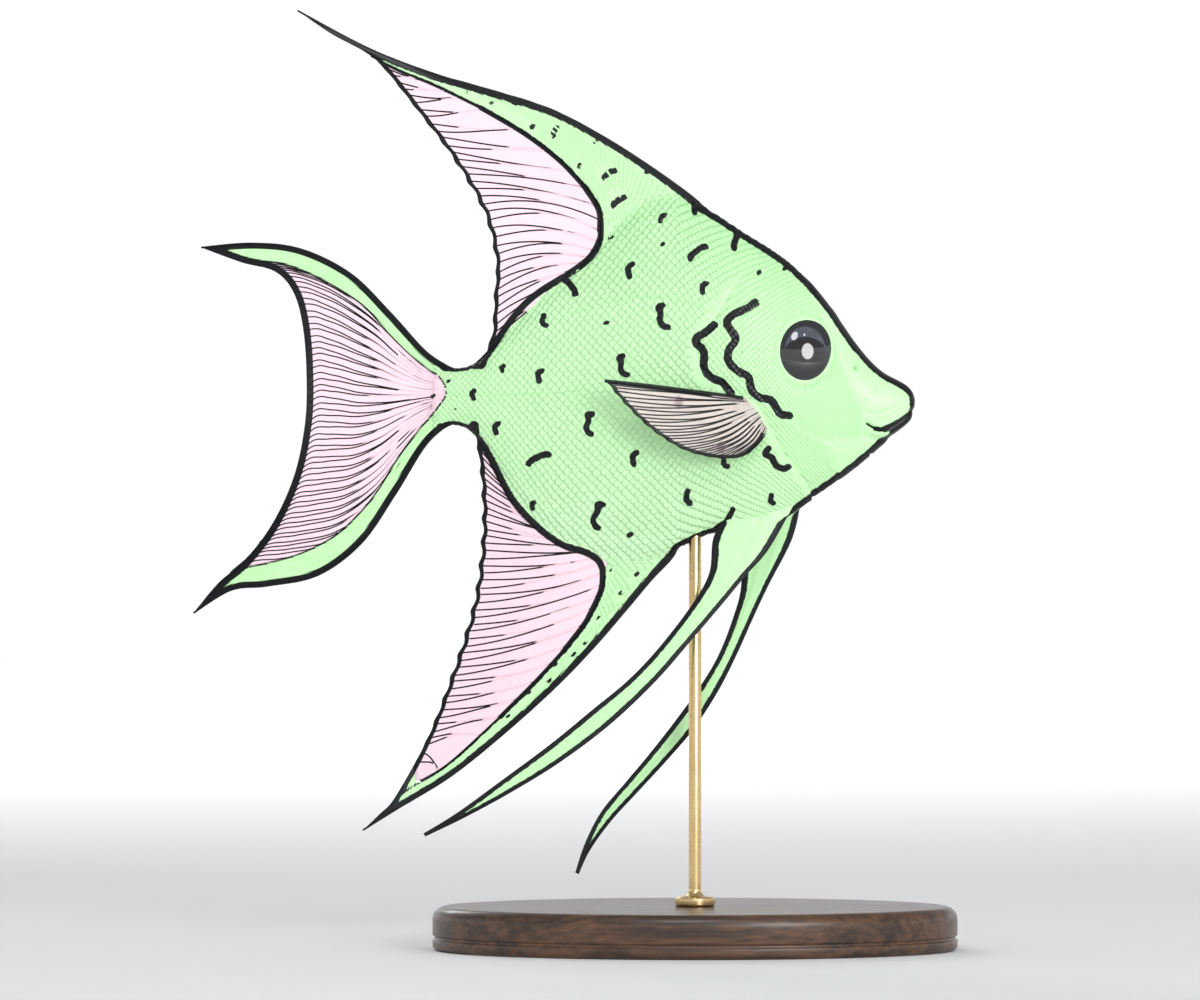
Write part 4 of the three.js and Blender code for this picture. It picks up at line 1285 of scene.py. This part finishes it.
# each upright fin's sideways wave, as in the CAD: size, phase at the front, turn to the rear
DORSAL_WAVE = (2.0, 0.4, 4.2)
ANAL_WAVE = (-2.0, 0.7, 3.8)
TAIL_WAVE = (2.6, 0.97, 3.4)
STRIP_SHARE = 0.21  # how much of a fin's margin belongs to its front strip

# the sails' rays: how far down the seam each starts, and the heading, in degrees above
# straight back, at which it meets the margin, both against its share of the margin
SAIL_FIRST = 0.95  # where the sail's first ray leaves the seam
SAIL_TURN = 0.2  # how much of the body's edge belongs to the rays' root
DORSAL_STARTS = [(0, 0), (0.106, 0.2), (0.2, 0.27), (0.358, 0.62), (0.49, 0.785),
                 (0.6, 0.86), (0.706, 0.92), (0.826, 0.965), (1, 1)]
ANAL_STARTS = [(0, 0), (0.07, 0.25), (0.17, 0.41), (0.354, 0.71), (0.544, 0.86),
               (0.72, 0.93), (0.847, 0.97), (1, 1)]
DORSAL_HEADINGS = [(0, 30), (0.05, 20), (0.106, 14), (0.2, 2), (0.3, 8), (0.358, 10),
                   (0.43, 3), (0.49, -2), (0.57, -18), (0.65, -14), (0.706, -27),
                   (0.77, -33), (0.905, -38), (1, -45)]
ANAL_HEADINGS = [(0, -35), (0.07, -22), (0.12, -8), (0.17, -5), (0.354, -5), (0.544, 0),
                 (0.65, 3), (0.72, 15), (0.78, 25), (0.847, 38), (0.9, 50), (1, 62)]

STRIP_HALVES = (0.34, 0.12)  # a strip's half thickness at its root and at its margin
SAIL_HALVES = (0.22, 0.09)
PECTORAL_HALVES = (0.16, 0.06)
SAIL_WAVES, SAIL_NOTCH = 15, 0.022  # scallops of a sail's margin, and their depth
SAIL_RAYS = {"dorsal": 20, "anal": 23}
SPINES = {"dorsal": 12, "anal": 6}
SPINE_RADIUS = 0.30
SPINE_SHORTEST = 0.14  # the first spine's length, as a share of the strip's
STRIP_EDGE = (0.42, 0.16)  # the thick first ray's radius at the root and at the tip
TAIL_EDGE = (0.34, 0.16)
PECTORAL_FIRST_RAY = (0.34, 0.28)
SAIL_GRID = (64, 150)  # a sail's vertices along its rays and across them
TAIL_GRID = (100, 220)
SAIL_RAY, TAIL_RAY, PECTORAL_RAY = 0.22, 0.2, 0.19  # the thin rays' radius at the root
# a ray is dark beyond a share of its length that is drawn between these
SAIL_DARK, TAIL_DARK, PECTORAL_DARK = (0.1, 0.75), (0.1, 0.6), (0.0, 0.35)
TAIL_RAYS = 34
RAY_SPLIT = 0.24  # how far a ray's two branches part, in gaps between rays
PECTORAL_SPLIT = 0.27
FOOT_GREEN = 0.2  # a sail is green this far past the body's edge

PECTORAL_SPREAD = math.tan(math.radians(19))
PECTORAL_SINK = 0.3
PECTORAL_CUP = 0.35
PECTORAL_BOW = 0.38  # how far the rays sag between root and margin
PECTORAL_EDGE = 0.62  # the width of the dark edge
PECTORAL_RAY_START = 0.06  # where its thick first ray leaves the skin
PECTORAL_RAYS = 15
RAY_TINT = 0.2  # the rays' pink, too little for a blotch
PECTORAL_BLOTCHES = [(37.9, -1.1), (31.2, -8.4)]
BLOTCH_SIZE = (0.8, 1.3)

FIN_SCALE_LENGTH = 1.2  # from one scale to the next along the rays, at the fin's foot
FIN_SCALE_ROW = 1.4  # between neighbours in one row across the rays
FIN_SCALES_END = 0.46  # how far up the strip the last of them sit
FIN_SCALES_SHRINK = 0.4  # the share of their size that the last of them have lost
FIN_SCALE_SINK, FIN_SCALE_LIP = 0.02, 0.14  # how deep its root lies, and its rise


# each upright fin: its way up, the body's edge under it, its wave and rays, its seam, and the
# strip's root, front, margin, rear and sail's root
UPRIGHT_FINS = [
    ("dorsal", 1, back_at, DORSAL_WAVE, DORSAL_HEADINGS, DORSAL_STARTS, DORSAL_SEAM,
     (DORSAL_STRIP_ROOT, DORSAL_FRONT, DORSAL_MARGIN, DORSAL_REAR, DORSAL_SAIL_ROOT)),
    ("anal", -1, belly_at, ANAL_WAVE, ANAL_HEADINGS, ANAL_STARTS, ANAL_SEAM,
     (ANAL_STRIP_ROOT, ANAL_FRONT, ANAL_MARGIN, ANAL_REAR, ANAL_SAIL_ROOT)),
]


def coons_patch(root, front, rear, margin, bend=1):
    """A patch between four edges: u from root to margin, v from the front ray to the rear.

    The higher bend is, the nearer the margin its shape begins to tell on the rays.
    """
    def at(u, v):
        u, v = np.broadcast_arrays(np.asarray(u, float), np.asarray(v, float))
        uu, vv = u[..., None], v[..., None]
        rays = front(u) * (1 - vv) + rear(u) * vv
        at_margin = uu**bend
        arcs = root(v) * (1 - at_margin) + margin(v) * at_margin
        low = root(0.0) * (1 - vv) + root(1.0) * vv
        high = margin(0.0) * (1 - vv) + margin(1.0) * vv
        return rays + arcs - low * (1 - at_margin) - high * at_margin
    return at


def fan_patch(root, front, rear, margin, headings, starts):
    """A patch whose rays arch out of the root and meet the margin at given headings."""
    heading_at, start_at = linear(headings), linear(starts)

    def ray(u, v):
        start, end = root(start_at(v)), margin(v)
        chord = end - start
        length = np.hypot(chord[..., 0], chord[..., 1])[..., None]
        end_angle = np.radians(heading_at(v))
        start_angle = 2 * np.arctan2(chord[..., 1], chord[..., 0]) - end_angle
        leaving, arriving = (np.stack([np.cos(angle), np.sin(angle)], -1) * length
                             for angle in (start_angle, end_angle))
        return hermite(u[..., None], start, leaving, end, arriving)

    def at(u, v):
        u, v = np.broadcast_arrays(np.asarray(u, float), np.asarray(v, float))
        lead = front(u) - ray(u, np.zeros_like(v))
        trail = rear(u) - ray(u, np.ones_like(v))
        return (ray(u, v) + lead * ((1 - v) ** 12)[..., None]
                + trail * (v**12)[..., None])
    return at


class Fin:
    """A thin fin: its patch in the fish's plane, its sway sideways and its scallops.

    An upright fin's two faces both bear the right side's marks.
    """

    def __init__(self, patch, sway, side=RIGHT, waves=0, depth=0.0):
        self.patch = patch
        self.sway = sway
        self.side = side
        self.waves = waves
        self.depth = depth

    def spots(self, u, v, off=0.0):
        """Places in the frame; off is a distance out of the fin's middle, across the fish."""
        u, v = np.broadcast_arrays(np.asarray(u, float), np.asarray(v, float))
        u = u - self.depth * np.abs(np.sin(np.pi * self.waves * v)) ** 1.5 * u**10
        point = self.patch(u, v)
        return place(point[..., 0], self.sway(u, v) + off, point[..., 1])

    def ink(self, flat):
        return ink_at(flat[..., 0], flat[..., 1], self.side)


def sheet(rows, columns):
    """The u and v of a grid over a fin's patch."""
    return np.meshgrid(np.linspace(0, 1, rows), np.linspace(0, 1, columns), indexing="ij")


def membrane(shape, fin, rows, columns, halves, **values):
    """A closed sheet over the fin's patch, thinning towards its margin."""
    u, v = sheet(rows, columns)
    half = halves[0] + (halves[1] - halves[0]) * np.sqrt(u)
    rim = np.minimum(np.minimum(1 - u, u + 0.3) * rows, np.minimum(v, 1 - v) * columns)
    half = half * np.clip(rim / 1.5, 0.35, 1)
    count = rows * columns
    faces = grid_faces(rows, columns)
    border = np.concatenate([
        np.arange(columns - 1), columns * np.arange(1, rows) - 1,
        count - 1 - np.arange(columns - 1), columns * np.arange(rows - 1, 0, -1),
    ])
    after = np.roll(border, -1)
    skirt = np.stack([after, border, border + count, after + count], -1)
    both = {key: np.tile(np.ravel(value), 2) if np.ndim(value) else value
            for key, value in values.items()}
    shape.add(np.stack([fin.spots(u, v, -half), fin.spots(u, v, half)]),
              [faces, faces[:, ::-1] + count, skirt], **both)


def soft_rays(shape, fin, shares, radius, split, draw, pink_at, dark, inked=True):
    """Branching fin rays, each as two tapered tubes that part on their way to the margin."""
    u = np.linspace(0.0, 0.985, 44)
    gap = np.diff(shares).mean()
    for share in shares:
        for branch in (-1, 1):
            way = branch * gap * (0.02 + split * smooth(0.25, 1.0, u))
            v = np.clip(share + way + 0.05 * gap * draw.uniform(-1, 1), 0.004, 0.996)
            reach = 1 - 0.03 * draw.uniform(0, 1)
            dark_from = draw.uniform(*dark)
            flat = fin.patch(u * reach, v)
            ink = (dark_from - u) * 3.0 + 0.5 * draw.uniform(-1, 1) * (u < 0.3)
            pink = pink_at(flat)
            ink = np.where(pink > 0.15, ink, FAR_FROM_INK)
            ink = np.minimum(ink, fin.ink(flat) if inked else FAR_FROM_INK)
            wide = radius * (1 - 0.3 * u)
            tube(shape, fin.spots(u * reach, v), wide, wide * 0.95 + 0.04,
                 ink=np.clip(ink, -1, 3), pink=pink, ray=1.0)


def leading_ray(shape, fin, radii, v_edge=0.0, u_start=0.0):
    """The thick first ray along an edge of the fin."""
    u = np.linspace(u_start, 1, 90)
    wide = radii[0] + (radii[1] - radii[0]) * u
    tube(shape, fin.spots(u, v_edge), wide, wide, sides=10, ink=-0.5, ray=1.0, height=0.4,
         tone=0.5)


def sail(name, fin, material, node, rays, draw, pink_at, grid, radius, dark, edges=()):
    """A soft fin: its membrane and its branching rays, in one piece."""
    shape = Shape()
    flat = fin.patch(*sheet(*grid))
    membrane(shape, fin, *grid, SAIL_HALVES, ink=fin.ink(flat), pink=pink_at(flat))
    shares = (np.arange(rays) + 0.5) / rays
    soft_rays(shape, fin, shares, radius, RAY_SPLIT, draw, pink_at, dark)
    for edge in edges:
        leading_ray(shape, fin, TAIL_EDGE, edge)
    install(shape.build(name, material), "fin_membrane", node)


def spines(shape, fin, count):
    """Hard spines in a fin's front strip, each running out to its leading edge."""
    for k in range(count):
        reach = SPINE_SHORTEST + (1 - SPINE_SHORTEST) * ((k + 1) / count) ** 1.15
        u = np.linspace(0.0, reach, 40)
        start = 0.04 + 0.93 * (k + 0.5) / count
        v = np.clip(start * (1 - (u / reach) ** 1.7), 0.012, 1)
        wide = SPINE_RADIUS * (1 - 0.72 * u / reach)
        tube(shape, fin.spots(u, v), wide, wide + 0.10, sides=8, ink=fin.ink(fin.patch(u, v)),
             height=0.4, tone=0.6)


def strip(name, fin, material, node, count):
    """The firm front of an upright fin: scaled skin over the spines."""
    shape = Shape()
    rows, columns = 120, 30
    membrane(shape, fin, rows, columns, STRIP_HALVES,
             ink=fin.ink(fin.patch(*sheet(rows, columns))), height=0.3, tone=0.5)
    spines(shape, fin, count)
    leading_ray(shape, fin, STRIP_EDGE)
    install(shape.build(name, material), "skin", node)


def fin_scales(name, fin, material, draw):
    """Small scales climbing the foot of an upright fin's strip, thinning out upward."""
    even = np.linspace(0, 1, 50)
    length = np.hypot(*np.diff(fin.patch(even, 0.5), axis=0).T).sum()
    width = np.hypot(*np.diff(fin.patch(0.0, even), axis=0).T).sum()
    pitch = FIN_SCALE_LENGTH / 2 / length
    rows = np.arange(int(FIN_SCALES_END / pitch / (1 - FIN_SCALES_SHRINK)))
    columns = np.arange(round(width / FIN_SCALE_ROW))
    row, column = (grid.ravel() for grid in np.meshgrid(rows, columns, indexing="ij"))
    size = np.maximum(1 - FIN_SCALES_SHRINK * row * pitch / FIN_SCALES_END,
                      1 - FIN_SCALES_SHRINK)
    u = row * pitch * (1 + size) / 2
    v = (column + 0.5 * (row % 2) + 0.25) / len(columns)
    keep = (v > 0.03) & (v < 0.97) & (u < FIN_SCALES_END * draw.uniform(0.85, 1.0, len(u)))
    u, v, size = u[keep, None], v[keep, None], size[keep, None]
    along = np.clip(u + PLATE[:, 0] * 2 * SCALE_REACH[0] * pitch * size, 0, 1)
    across = np.clip(v + PLATE[:, 1] * SCALE_REACH[1] / 2 / len(columns), 0.005, 0.995)
    flat = fin.patch(along, across)
    rise = (FIN_SCALE_LIP * PLATE_BACK - FIN_SCALE_SINK - SCALE_RIM * PLATE_UNDER) * size
    half = STRIP_HALVES[0] + (STRIP_HALVES[1] - STRIP_HALVES[0]) * np.sqrt(along)
    root_uv = 0.45 + 0.9 * (flat[:, :1] - flat[0, 0]) / UNWRAP
    for side, word in ((RIGHT, "right"), (LEFT, "left")):
        ink = ink_at(flat[..., 0], flat[..., 1], side)
        clear = ink.min(axis=1) > INK_BLUR
        spots = fin.spots(along, across, side * (half + rise))
        shape = Shape()
        add_plates(shape, spots[clear], root_uv[clear], ink=ink[clear],
                   tone=draw.uniform(0, 1, clear.sum())[:, None])
        install(shape.build(f"{name}_{word}", material, uv=True), "skin")


def strip_fin(root, front, seam, margin, wave):
    """The firm front of an upright fin, between its leading edge and the seam."""
    size, phase, turn = wave

    def sway(u, v):
        return size * u**2 * np.cos(phase + turn * STRIP_SHARE * v)

    return Fin(coons_patch(root, front, seam, margin), sway)


def sail_fin(seam, body_edge, rear, margin, headings, starts, wave):
    """The soft part of an upright fin: its rays leave the seam and the front of its foot."""
    down_seam = seam(np.linspace(SAIL_FIRST, 0, 120))
    foot = body_edge(np.linspace(0, SAIL_TURN, 20))
    root = Route(np.vstack([down_seam, foot[1:]]))
    edge = Route(np.vstack([margin.points, rear(np.linspace(1, 0, 20))[1:]]))
    patch = fan_patch(root, seam.part(SAIL_FIRST, 1), body_edge.part(SAIL_TURN, 1), edge,
                      headings, starts)
    start_at = linear(starts)
    size, phase, turn = wave

    def sway(u, v):
        walked = start_at(v) * root.length / seam.length
        climbed = np.clip(SAIL_FIRST - walked, 0, 1)
        reach = climbed + (1 - climbed) * u
        share = STRIP_SHARE + (1 - STRIP_SHARE) * v * u
        return size * reach**2 * np.cos(phase + turn * share) * (1 - v**8)

    return Fin(patch, sway, waves=SAIL_WAVES, depth=SAIL_NOTCH)


def upright_fins(skin_finish, membrane_finish, draw):
    """The dorsal and the anal fin, each a firm strip in front of a soft sail."""
    for word, up, edge_at, wave, headings, starts, seam, lines in UPRIGHT_FINS:
        strip_root, front, margin, rear, sail_root = (curve(line) for line in lines)
        boundary = curve(seam[:-1] + [tuple(margin(STRIP_SHARE))])
        firm = strip_fin(strip_root, front, boundary, margin.part(0, STRIP_SHARE), wave)
        soft = sail_fin(boundary, sail_root, rear, margin.part(STRIP_SHARE, 1, 300),
                        headings, starts, wave)
        strip(f"{word}_strip", firm, skin_finish, f"{word}_fin_spines", SPINES[word])
        fin_scales(f"coat_{word}_fin", firm, skin_finish, draw)

        def pink_at(flat, up=up, edge_at=edge_at):
            climbed = up * (flat[..., 1] - edge_at(flat[..., 0]))
            return np.where(climbed < FOOT_GREEN, -0.5, 1.0)

        sail(f"{word}_sail", soft, membrane_finish, f"{word}_fin_sail", SAIL_RAYS[word], draw,
             pink_at, SAIL_GRID, SAIL_RAY, SAIL_DARK)


def tail_fin(membrane_finish, draw):
    """The tail: one soft fin, pink between its green lobes."""
    size, phase, turn = TAIL_WAVE

    def sway(u, v):
        return size * u**2 * np.cos(phase + turn * v)

    fin = Fin(coons_patch(curve(TAIL_ROOT), curve(TAIL_FRONT), curve(TAIL_REAR),
                          curve(TAIL_MARGIN), bend=2), sway)
    sail("tail_sail", fin, membrane_finish, "tail_fin", TAIL_RAYS, draw,
         lambda flat: in_pink(flat[..., 0], flat[..., 1]), TAIL_GRID, TAIL_RAY, TAIL_DARK,
         edges=(0, 1))


def pectoral_fins(membrane_finish, draw):
    """The pectoral fins: beige fans spread from the body, their rays bowed downward."""
    straight = coons_patch(curve(PECTORAL_ROOT), curve(PECTORAL_FRONT), curve(PECTORAL_REAR),
                           curve(PECTORAL_MARGIN))
    outline = np.vstack([dense(PECTORAL_FRONT), dense(PECTORAL_MARGIN),
                         dense(PECTORAL_REAR)[::-1]])

    def patch(u, v):
        u, v = np.broadcast_arrays(np.asarray(u, float), np.asarray(v, float))
        return straight(u, v + PECTORAL_BOW * v * (1 - v) * np.sin(np.pi * u))

    rows, columns = 40, 90
    flat = patch(*sheet(rows, columns))
    ink = distance_to(outline, flat[..., 0], flat[..., 1])[0] - PECTORAL_EDGE
    blotch = sum(hill(flat[..., 0] - s, BLOTCH_SIZE[0]) * hill(flat[..., 1] - t, BLOTCH_SIZE[1])
                 for s, t in PECTORAL_BLOTCHES)
    shares = (np.arange(PECTORAL_RAYS) + 0.4) / PECTORAL_RAYS
    for side, word in ((RIGHT, "right"), (LEFT, "left")):
        def sway(u, v, side=side):
            start = patch(np.zeros_like(u), v)
            reach = np.linalg.norm(patch(u, v) - start, axis=-1)
            root = lens_width(start[..., 0], start[..., 1]) - PECTORAL_SINK
            return side * (root + PECTORAL_SPREAD * reach + PECTORAL_CUP * np.sin(np.pi * v) * u)

        fin = Fin(patch, sway, side, waves=12, depth=0.012)
        shape = Shape()
        membrane(shape, fin, rows, columns, PECTORAL_HALVES, ink=ink, pink=blotch)
        soft_rays(shape, fin, shares, PECTORAL_RAY, PECTORAL_SPLIT, draw,
                  lambda flat: np.full(len(flat), RAY_TINT), PECTORAL_DARK, inked=False)
        leading_ray(shape, fin, PECTORAL_FIRST_RAY, u_start=PECTORAL_RAY_START)
        install(shape.build(f"pectoral_{word}", membrane_finish), "pectoral_membrane",
                f"pectoral_fin_{word}")


PELVIC_RIGHT = (
    [(19.0, -16.6), (23.4, -24.4), (27.2, -28.8), (31.2, -33.6), (36.0, -39.2), (41.6, -45.6),
     (48.8, -52.4), (56.8, -58.4), (64.8, -63.3), (72.0, -67.2), (78.2, -70.2)],
    [(29.0, -17.6), (32.2, -22.4), (33.0, -28.4), (36.0, -33.7), (41.2, -40.4), (46.0, -45.4),
     (51.6, -50.0), (58.2, -55.4), (66.0, -61.2), (73.0, -66.3), (78.5, -69.7)],
)
PELVIC_LEFT = (
    [(18.0, -15.6), (19.5, -22.6), (23.4, -30.4), (26.0, -36.0), (28.3, -41.2), (31.3, -47.2),
     (35.2, -53.3), (39.5, -58.4), (44.3, -63.6), (48.6, -68.3), (52.0, -73.0), (53.8, -76.8)],
    [(29.0, -17.6), (28.0, -24.0), (27.8, -30.6), (29.2, -36.0), (31.4, -41.6), (34.2, -46.4),
     (38.2, -52.0), (42.4, -57.4), (46.4, -62.2), (50.2, -66.8), (52.8, -71.8), (54.4, -76.6)],
)
PELVIC_ROOT_Y = 1.5
PELVIC_SPLAY = (5.4, 1.9, 1.2)  # the sideways bow: size, turn and power
PELVIC_THICK = (0.55, 0.28)  # half thickness near the root and near the tip
PELVIC_FOOT = 0.45  # what the root adds to it
PELVIC_RAYS = 3.5  # ridges across each face
PELVIC_RIDGE = 0.22  # their height, as a share of the thickness
PELVIC_LINE = 1.15  # width of the dark edges


def pelvic_fins(skin_finish):
    """Long trailing blades: a stiff leading spine, then a few rays under smooth skin."""
    size, turn, power = PELVIC_SPLAY
    near_root, near_tip = PELVIC_THICK
    around, rows = 40, 220
    u = np.linspace(0, 1, rows)
    thick = near_root + (near_tip - near_root) * np.minimum(u * 1.6, 1)
    thick = thick * np.clip((1 - u) * 14, 0.25, 1) + PELVIC_FOOT * np.exp(-u / 0.05)
    thick = thick * (0.2 + 0.8 * smooth(-0.02, 0.055, u))
    v = (1 - np.cos(turns(around))) / 2
    bulge = np.sin(turns(around))
    ridges = 1 + PELVIC_RIDGE * np.cos(2 * np.pi * PELVIC_RAYS * v) * np.abs(bulge)
    off = thick[:, None] * np.sign(bulge) * np.abs(bulge) ** 0.75 * ridges
    dark_width = PELVIC_LINE * (1 - 0.35 * smooth(0.3, 1, u))[:, None]
    fade = smooth(0.01, 0.06, u)[:, None]
    for side, word, (front, rear) in ((RIGHT, "right", PELVIC_RIGHT),
                                      (LEFT, "left", PELVIC_LEFT)):
        lead, trail = curve(front)(u)[:, None], curve(rear)(u)[:, None]
        breadth = np.linalg.norm(trail - lead, axis=-1)
        middle = side * (PELVIC_ROOT_Y + size * np.sin(u * turn) ** power)
        flat = lead + (trail - lead) * v[None, :, None]
        spots = place(flat[..., 0], middle[:, None] + off, flat[..., 1])
        ink = np.minimum(np.minimum(v, 1 - v) * breadth - dark_width, (0.985 - u)[:, None] * 40)
        ink = ink * fade + 1 - fade
        shape = Shape()
        shape.add(np.vstack([spots.reshape(-1, 3), spots[0].mean(0), spots[-1].mean(0)]),
                  [grid_faces(rows, around, closed=True), end_fans(rows, around)],
                  ink=np.append(ink.ravel(), [1, -1]), height=-0.3, tone=0.5, rim=0.2)
        install(shape.build(f"pelvic_{word}", skin_finish), "skin", f"pelvic_fin_{word}")


# ---- eyes ------------------------------------------------------------------------------------

PUPIL = (17.7, 6.2, 3.55, 3.1)  # its middle, and its half length and half height
EYE_RIM = 0.78  # share of the outline at which the dark rim starts
EYE_SLOPE_STEP = 1.5  # the head's slope at the eye is taken this far from its middle


def eyes(material):
    """Each eyeball: an ellipsoid set into the head, drawn round the axis across the fish."""
    depth = EYE_DEPTH / 2
    shown = math.sqrt(1 - (1 - EYE_BULGE / depth) ** 2)
    rings, around = 48, 96
    lift = np.linspace(0, math.pi, rings + 2)[1:-1, None]
    turn = turns(around)[None]
    step = EYE_SLOPE_STEP
    middle_s, middle_t = EYE_CENTRE
    slope_s, slope_t = (
        (lens_width(middle_s + ds, middle_t + dt) - lens_width(middle_s - ds, middle_t - dt))
        / (2 * step) for ds, dt in ((step, 0), (0, step)))
    ds = np.append(EYE_LENGTH / 2 / shown * np.sin(lift) * np.cos(turn), [0, 0])
    dt = np.append(EYE_HEIGHT / 2 / shown * np.sin(lift) * np.sin(turn), [0, 0])
    out = np.append(depth * np.cos(lift) * np.ones_like(turn), [depth, -depth])
    s, t = middle_s + ds, middle_t + dt
    y = lens_width(middle_s, middle_t) + EYE_BULGE - depth + out + slope_s * ds + slope_t * dt
    pupil_s, pupil_t, pupil_long, pupil_high = PUPIL
    pupil = np.hypot((s - pupil_s) / pupil_long, (t - pupil_t) / pupil_high) - 1
    for side, word in ((RIGHT, "right"), (LEFT, "left")):
        shape = Shape()
        shape.add(place(s, side * y, t),
                  [grid_faces(rings, around, closed=True), end_fans(rings, around)],
                  pupil=pupil, share=eye_share(s, t), turn=np.arctan2(t - pupil_t, s - pupil_s))
        install(shape.build(f"eyeball_{word}", material), "eye", f"eye_{word}")


# ---- stand -----------------------------------------------------------------------------------

ROD_RADIUS = 1.0
ROD_GRIP = 6.0  # how far the rod goes up into the belly
COLLAR_RADIUS = 3.2
COLLAR_HEIGHT = 2.6
COLLAR_EDGE = 0.35
BASE_LENGTH = 84.0
BASE_WIDTH = 54.0
BASE_THICKNESS = 7.0
BASE_EDGE_RADIUS = 2.0
BASE_FOOT_BEVEL = 0.6
BEAD_HEIGHT, BEAD_RADIUS = 2.1, 0.35  # the fine groove round the base
SEAT_GAP = 0.3


def turned(profile_points, around, name, material, slot, node, stretch=1.0):
    """A solid turned about the Z axis from (radius, z) points; stretch narrows it in y."""
    points = np.array(profile_points, float)
    ring = np.stack([np.cos(turns(around)), np.sin(turns(around)) * stretch], -1)
    spots = [np.column_stack([ring * radius, np.full(around, z)]) for radius, z in points]
    ends = [[0, 0, points[0, 1]], [0, 0, points[-1, 1]]]
    shape = Shape()
    shape.add(np.vstack([*spots, ends]) * MM, [grid_faces(len(points), around, closed=True)],
              flat=[end_fans(len(points), around)])
    install(shape.build(name, material), slot, node)


def arc_points(centre_r, centre_z, radius, degrees):
    """(radius, z) points on a circle, at angles above its outward side."""
    return [(centre_r + radius * math.cos(a), centre_z + radius * math.sin(a))
            for a in np.radians(degrees)]


def base(material):
    """The oval plinth: a bevelled foot, a fine bead line and a rounded upper edge."""
    outer = BASE_LENGTH / 2
    edge = BASE_EDGE_RADIUS
    points = [
        (outer - BASE_FOOT_BEVEL - 0.4, 0), (outer - BASE_FOOT_BEVEL, 0.02),
        (outer - 0.12, BASE_FOOT_BEVEL - 0.1), (outer, BASE_FOOT_BEVEL + 0.1),
        (outer, BEAD_HEIGHT - BEAD_RADIUS - 0.05), (outer - 0.02, BEAD_HEIGHT - BEAD_RADIUS),
        *arc_points(outer, BEAD_HEIGHT, -BEAD_RADIUS, range(70, -90, -20)),
        (outer - 0.02, BEAD_HEIGHT + BEAD_RADIUS), (outer, BEAD_HEIGHT + BEAD_RADIUS + 0.05),
        (outer, BASE_THICKNESS - edge - 0.05),
        *arc_points(outer - edge, BASE_THICKNESS - edge, edge, np.linspace(0, 90, 14)),
        (outer - edge - 0.2, BASE_THICKNESS), (COLLAR_RADIUS, BASE_THICKNESS),
    ]
    turned(points, 200, "plinth", material, "wood", "stand_base", BASE_WIDTH / BASE_LENGTH)


def rod(material):
    """The rod and its turned collar."""
    seat = BASE_THICKNESS + SEAT_GAP
    neck = seat + COLLAR_HEIGHT
    top = AXIS_HEIGHT + float(belly_at(SNOUT_X)) + ROD_GRIP
    shoulder = seat + COLLAR_HEIGHT * 0.5
    points = [
        (COLLAR_RADIUS - 0.25, BASE_THICKNESS), (COLLAR_RADIUS - 0.05, seat - 0.12),
        (COLLAR_RADIUS, seat + 0.1),
        *arc_points(COLLAR_RADIUS - COLLAR_EDGE, shoulder - 0.4, COLLAR_EDGE,
                    np.linspace(0, 88, 7)),
        (COLLAR_RADIUS * 0.74, shoulder - 0.06), (COLLAR_RADIUS * 0.7, shoulder),
        *((ROD_RADIUS + 0.95 * (1 - math.sin(a)), shoulder + 0.05 + 1.1 * (1 - math.cos(a)))
          for a in np.linspace(0.05, math.pi / 2, 9)),
        (ROD_RADIUS, neck), (ROD_RADIUS, neck + 0.2), (ROD_RADIUS, top - 0.4),
        (ROD_RADIUS - 0.12, top - 0.12), (ROD_RADIUS - 0.4, top),
    ]
    turned(points, 72, "rod", material, "brass", "stand_rod")


skin_finish = skin_material()
membrane_finish = membrane_material()
flesh = Flesh()
install(skin_mesh(flesh, skin_finish), "skin", "head", "jaw_lower",
        "gill_cover_right", "gill_cover_left", "trunk", "tail_stalk")
coat(flesh, skin_finish)
draw = np.random.default_rng(RNG_SEED + 2)
upright_fins(skin_finish, membrane_finish, draw)
tail_fin(membrane_finish, draw)
pectoral_fins(pectoral_material(), draw)
pelvic_fins(skin_finish)
eyes(eye_material())
base(wood_material())
rod(brass_material())
camera()
floor()
lights()
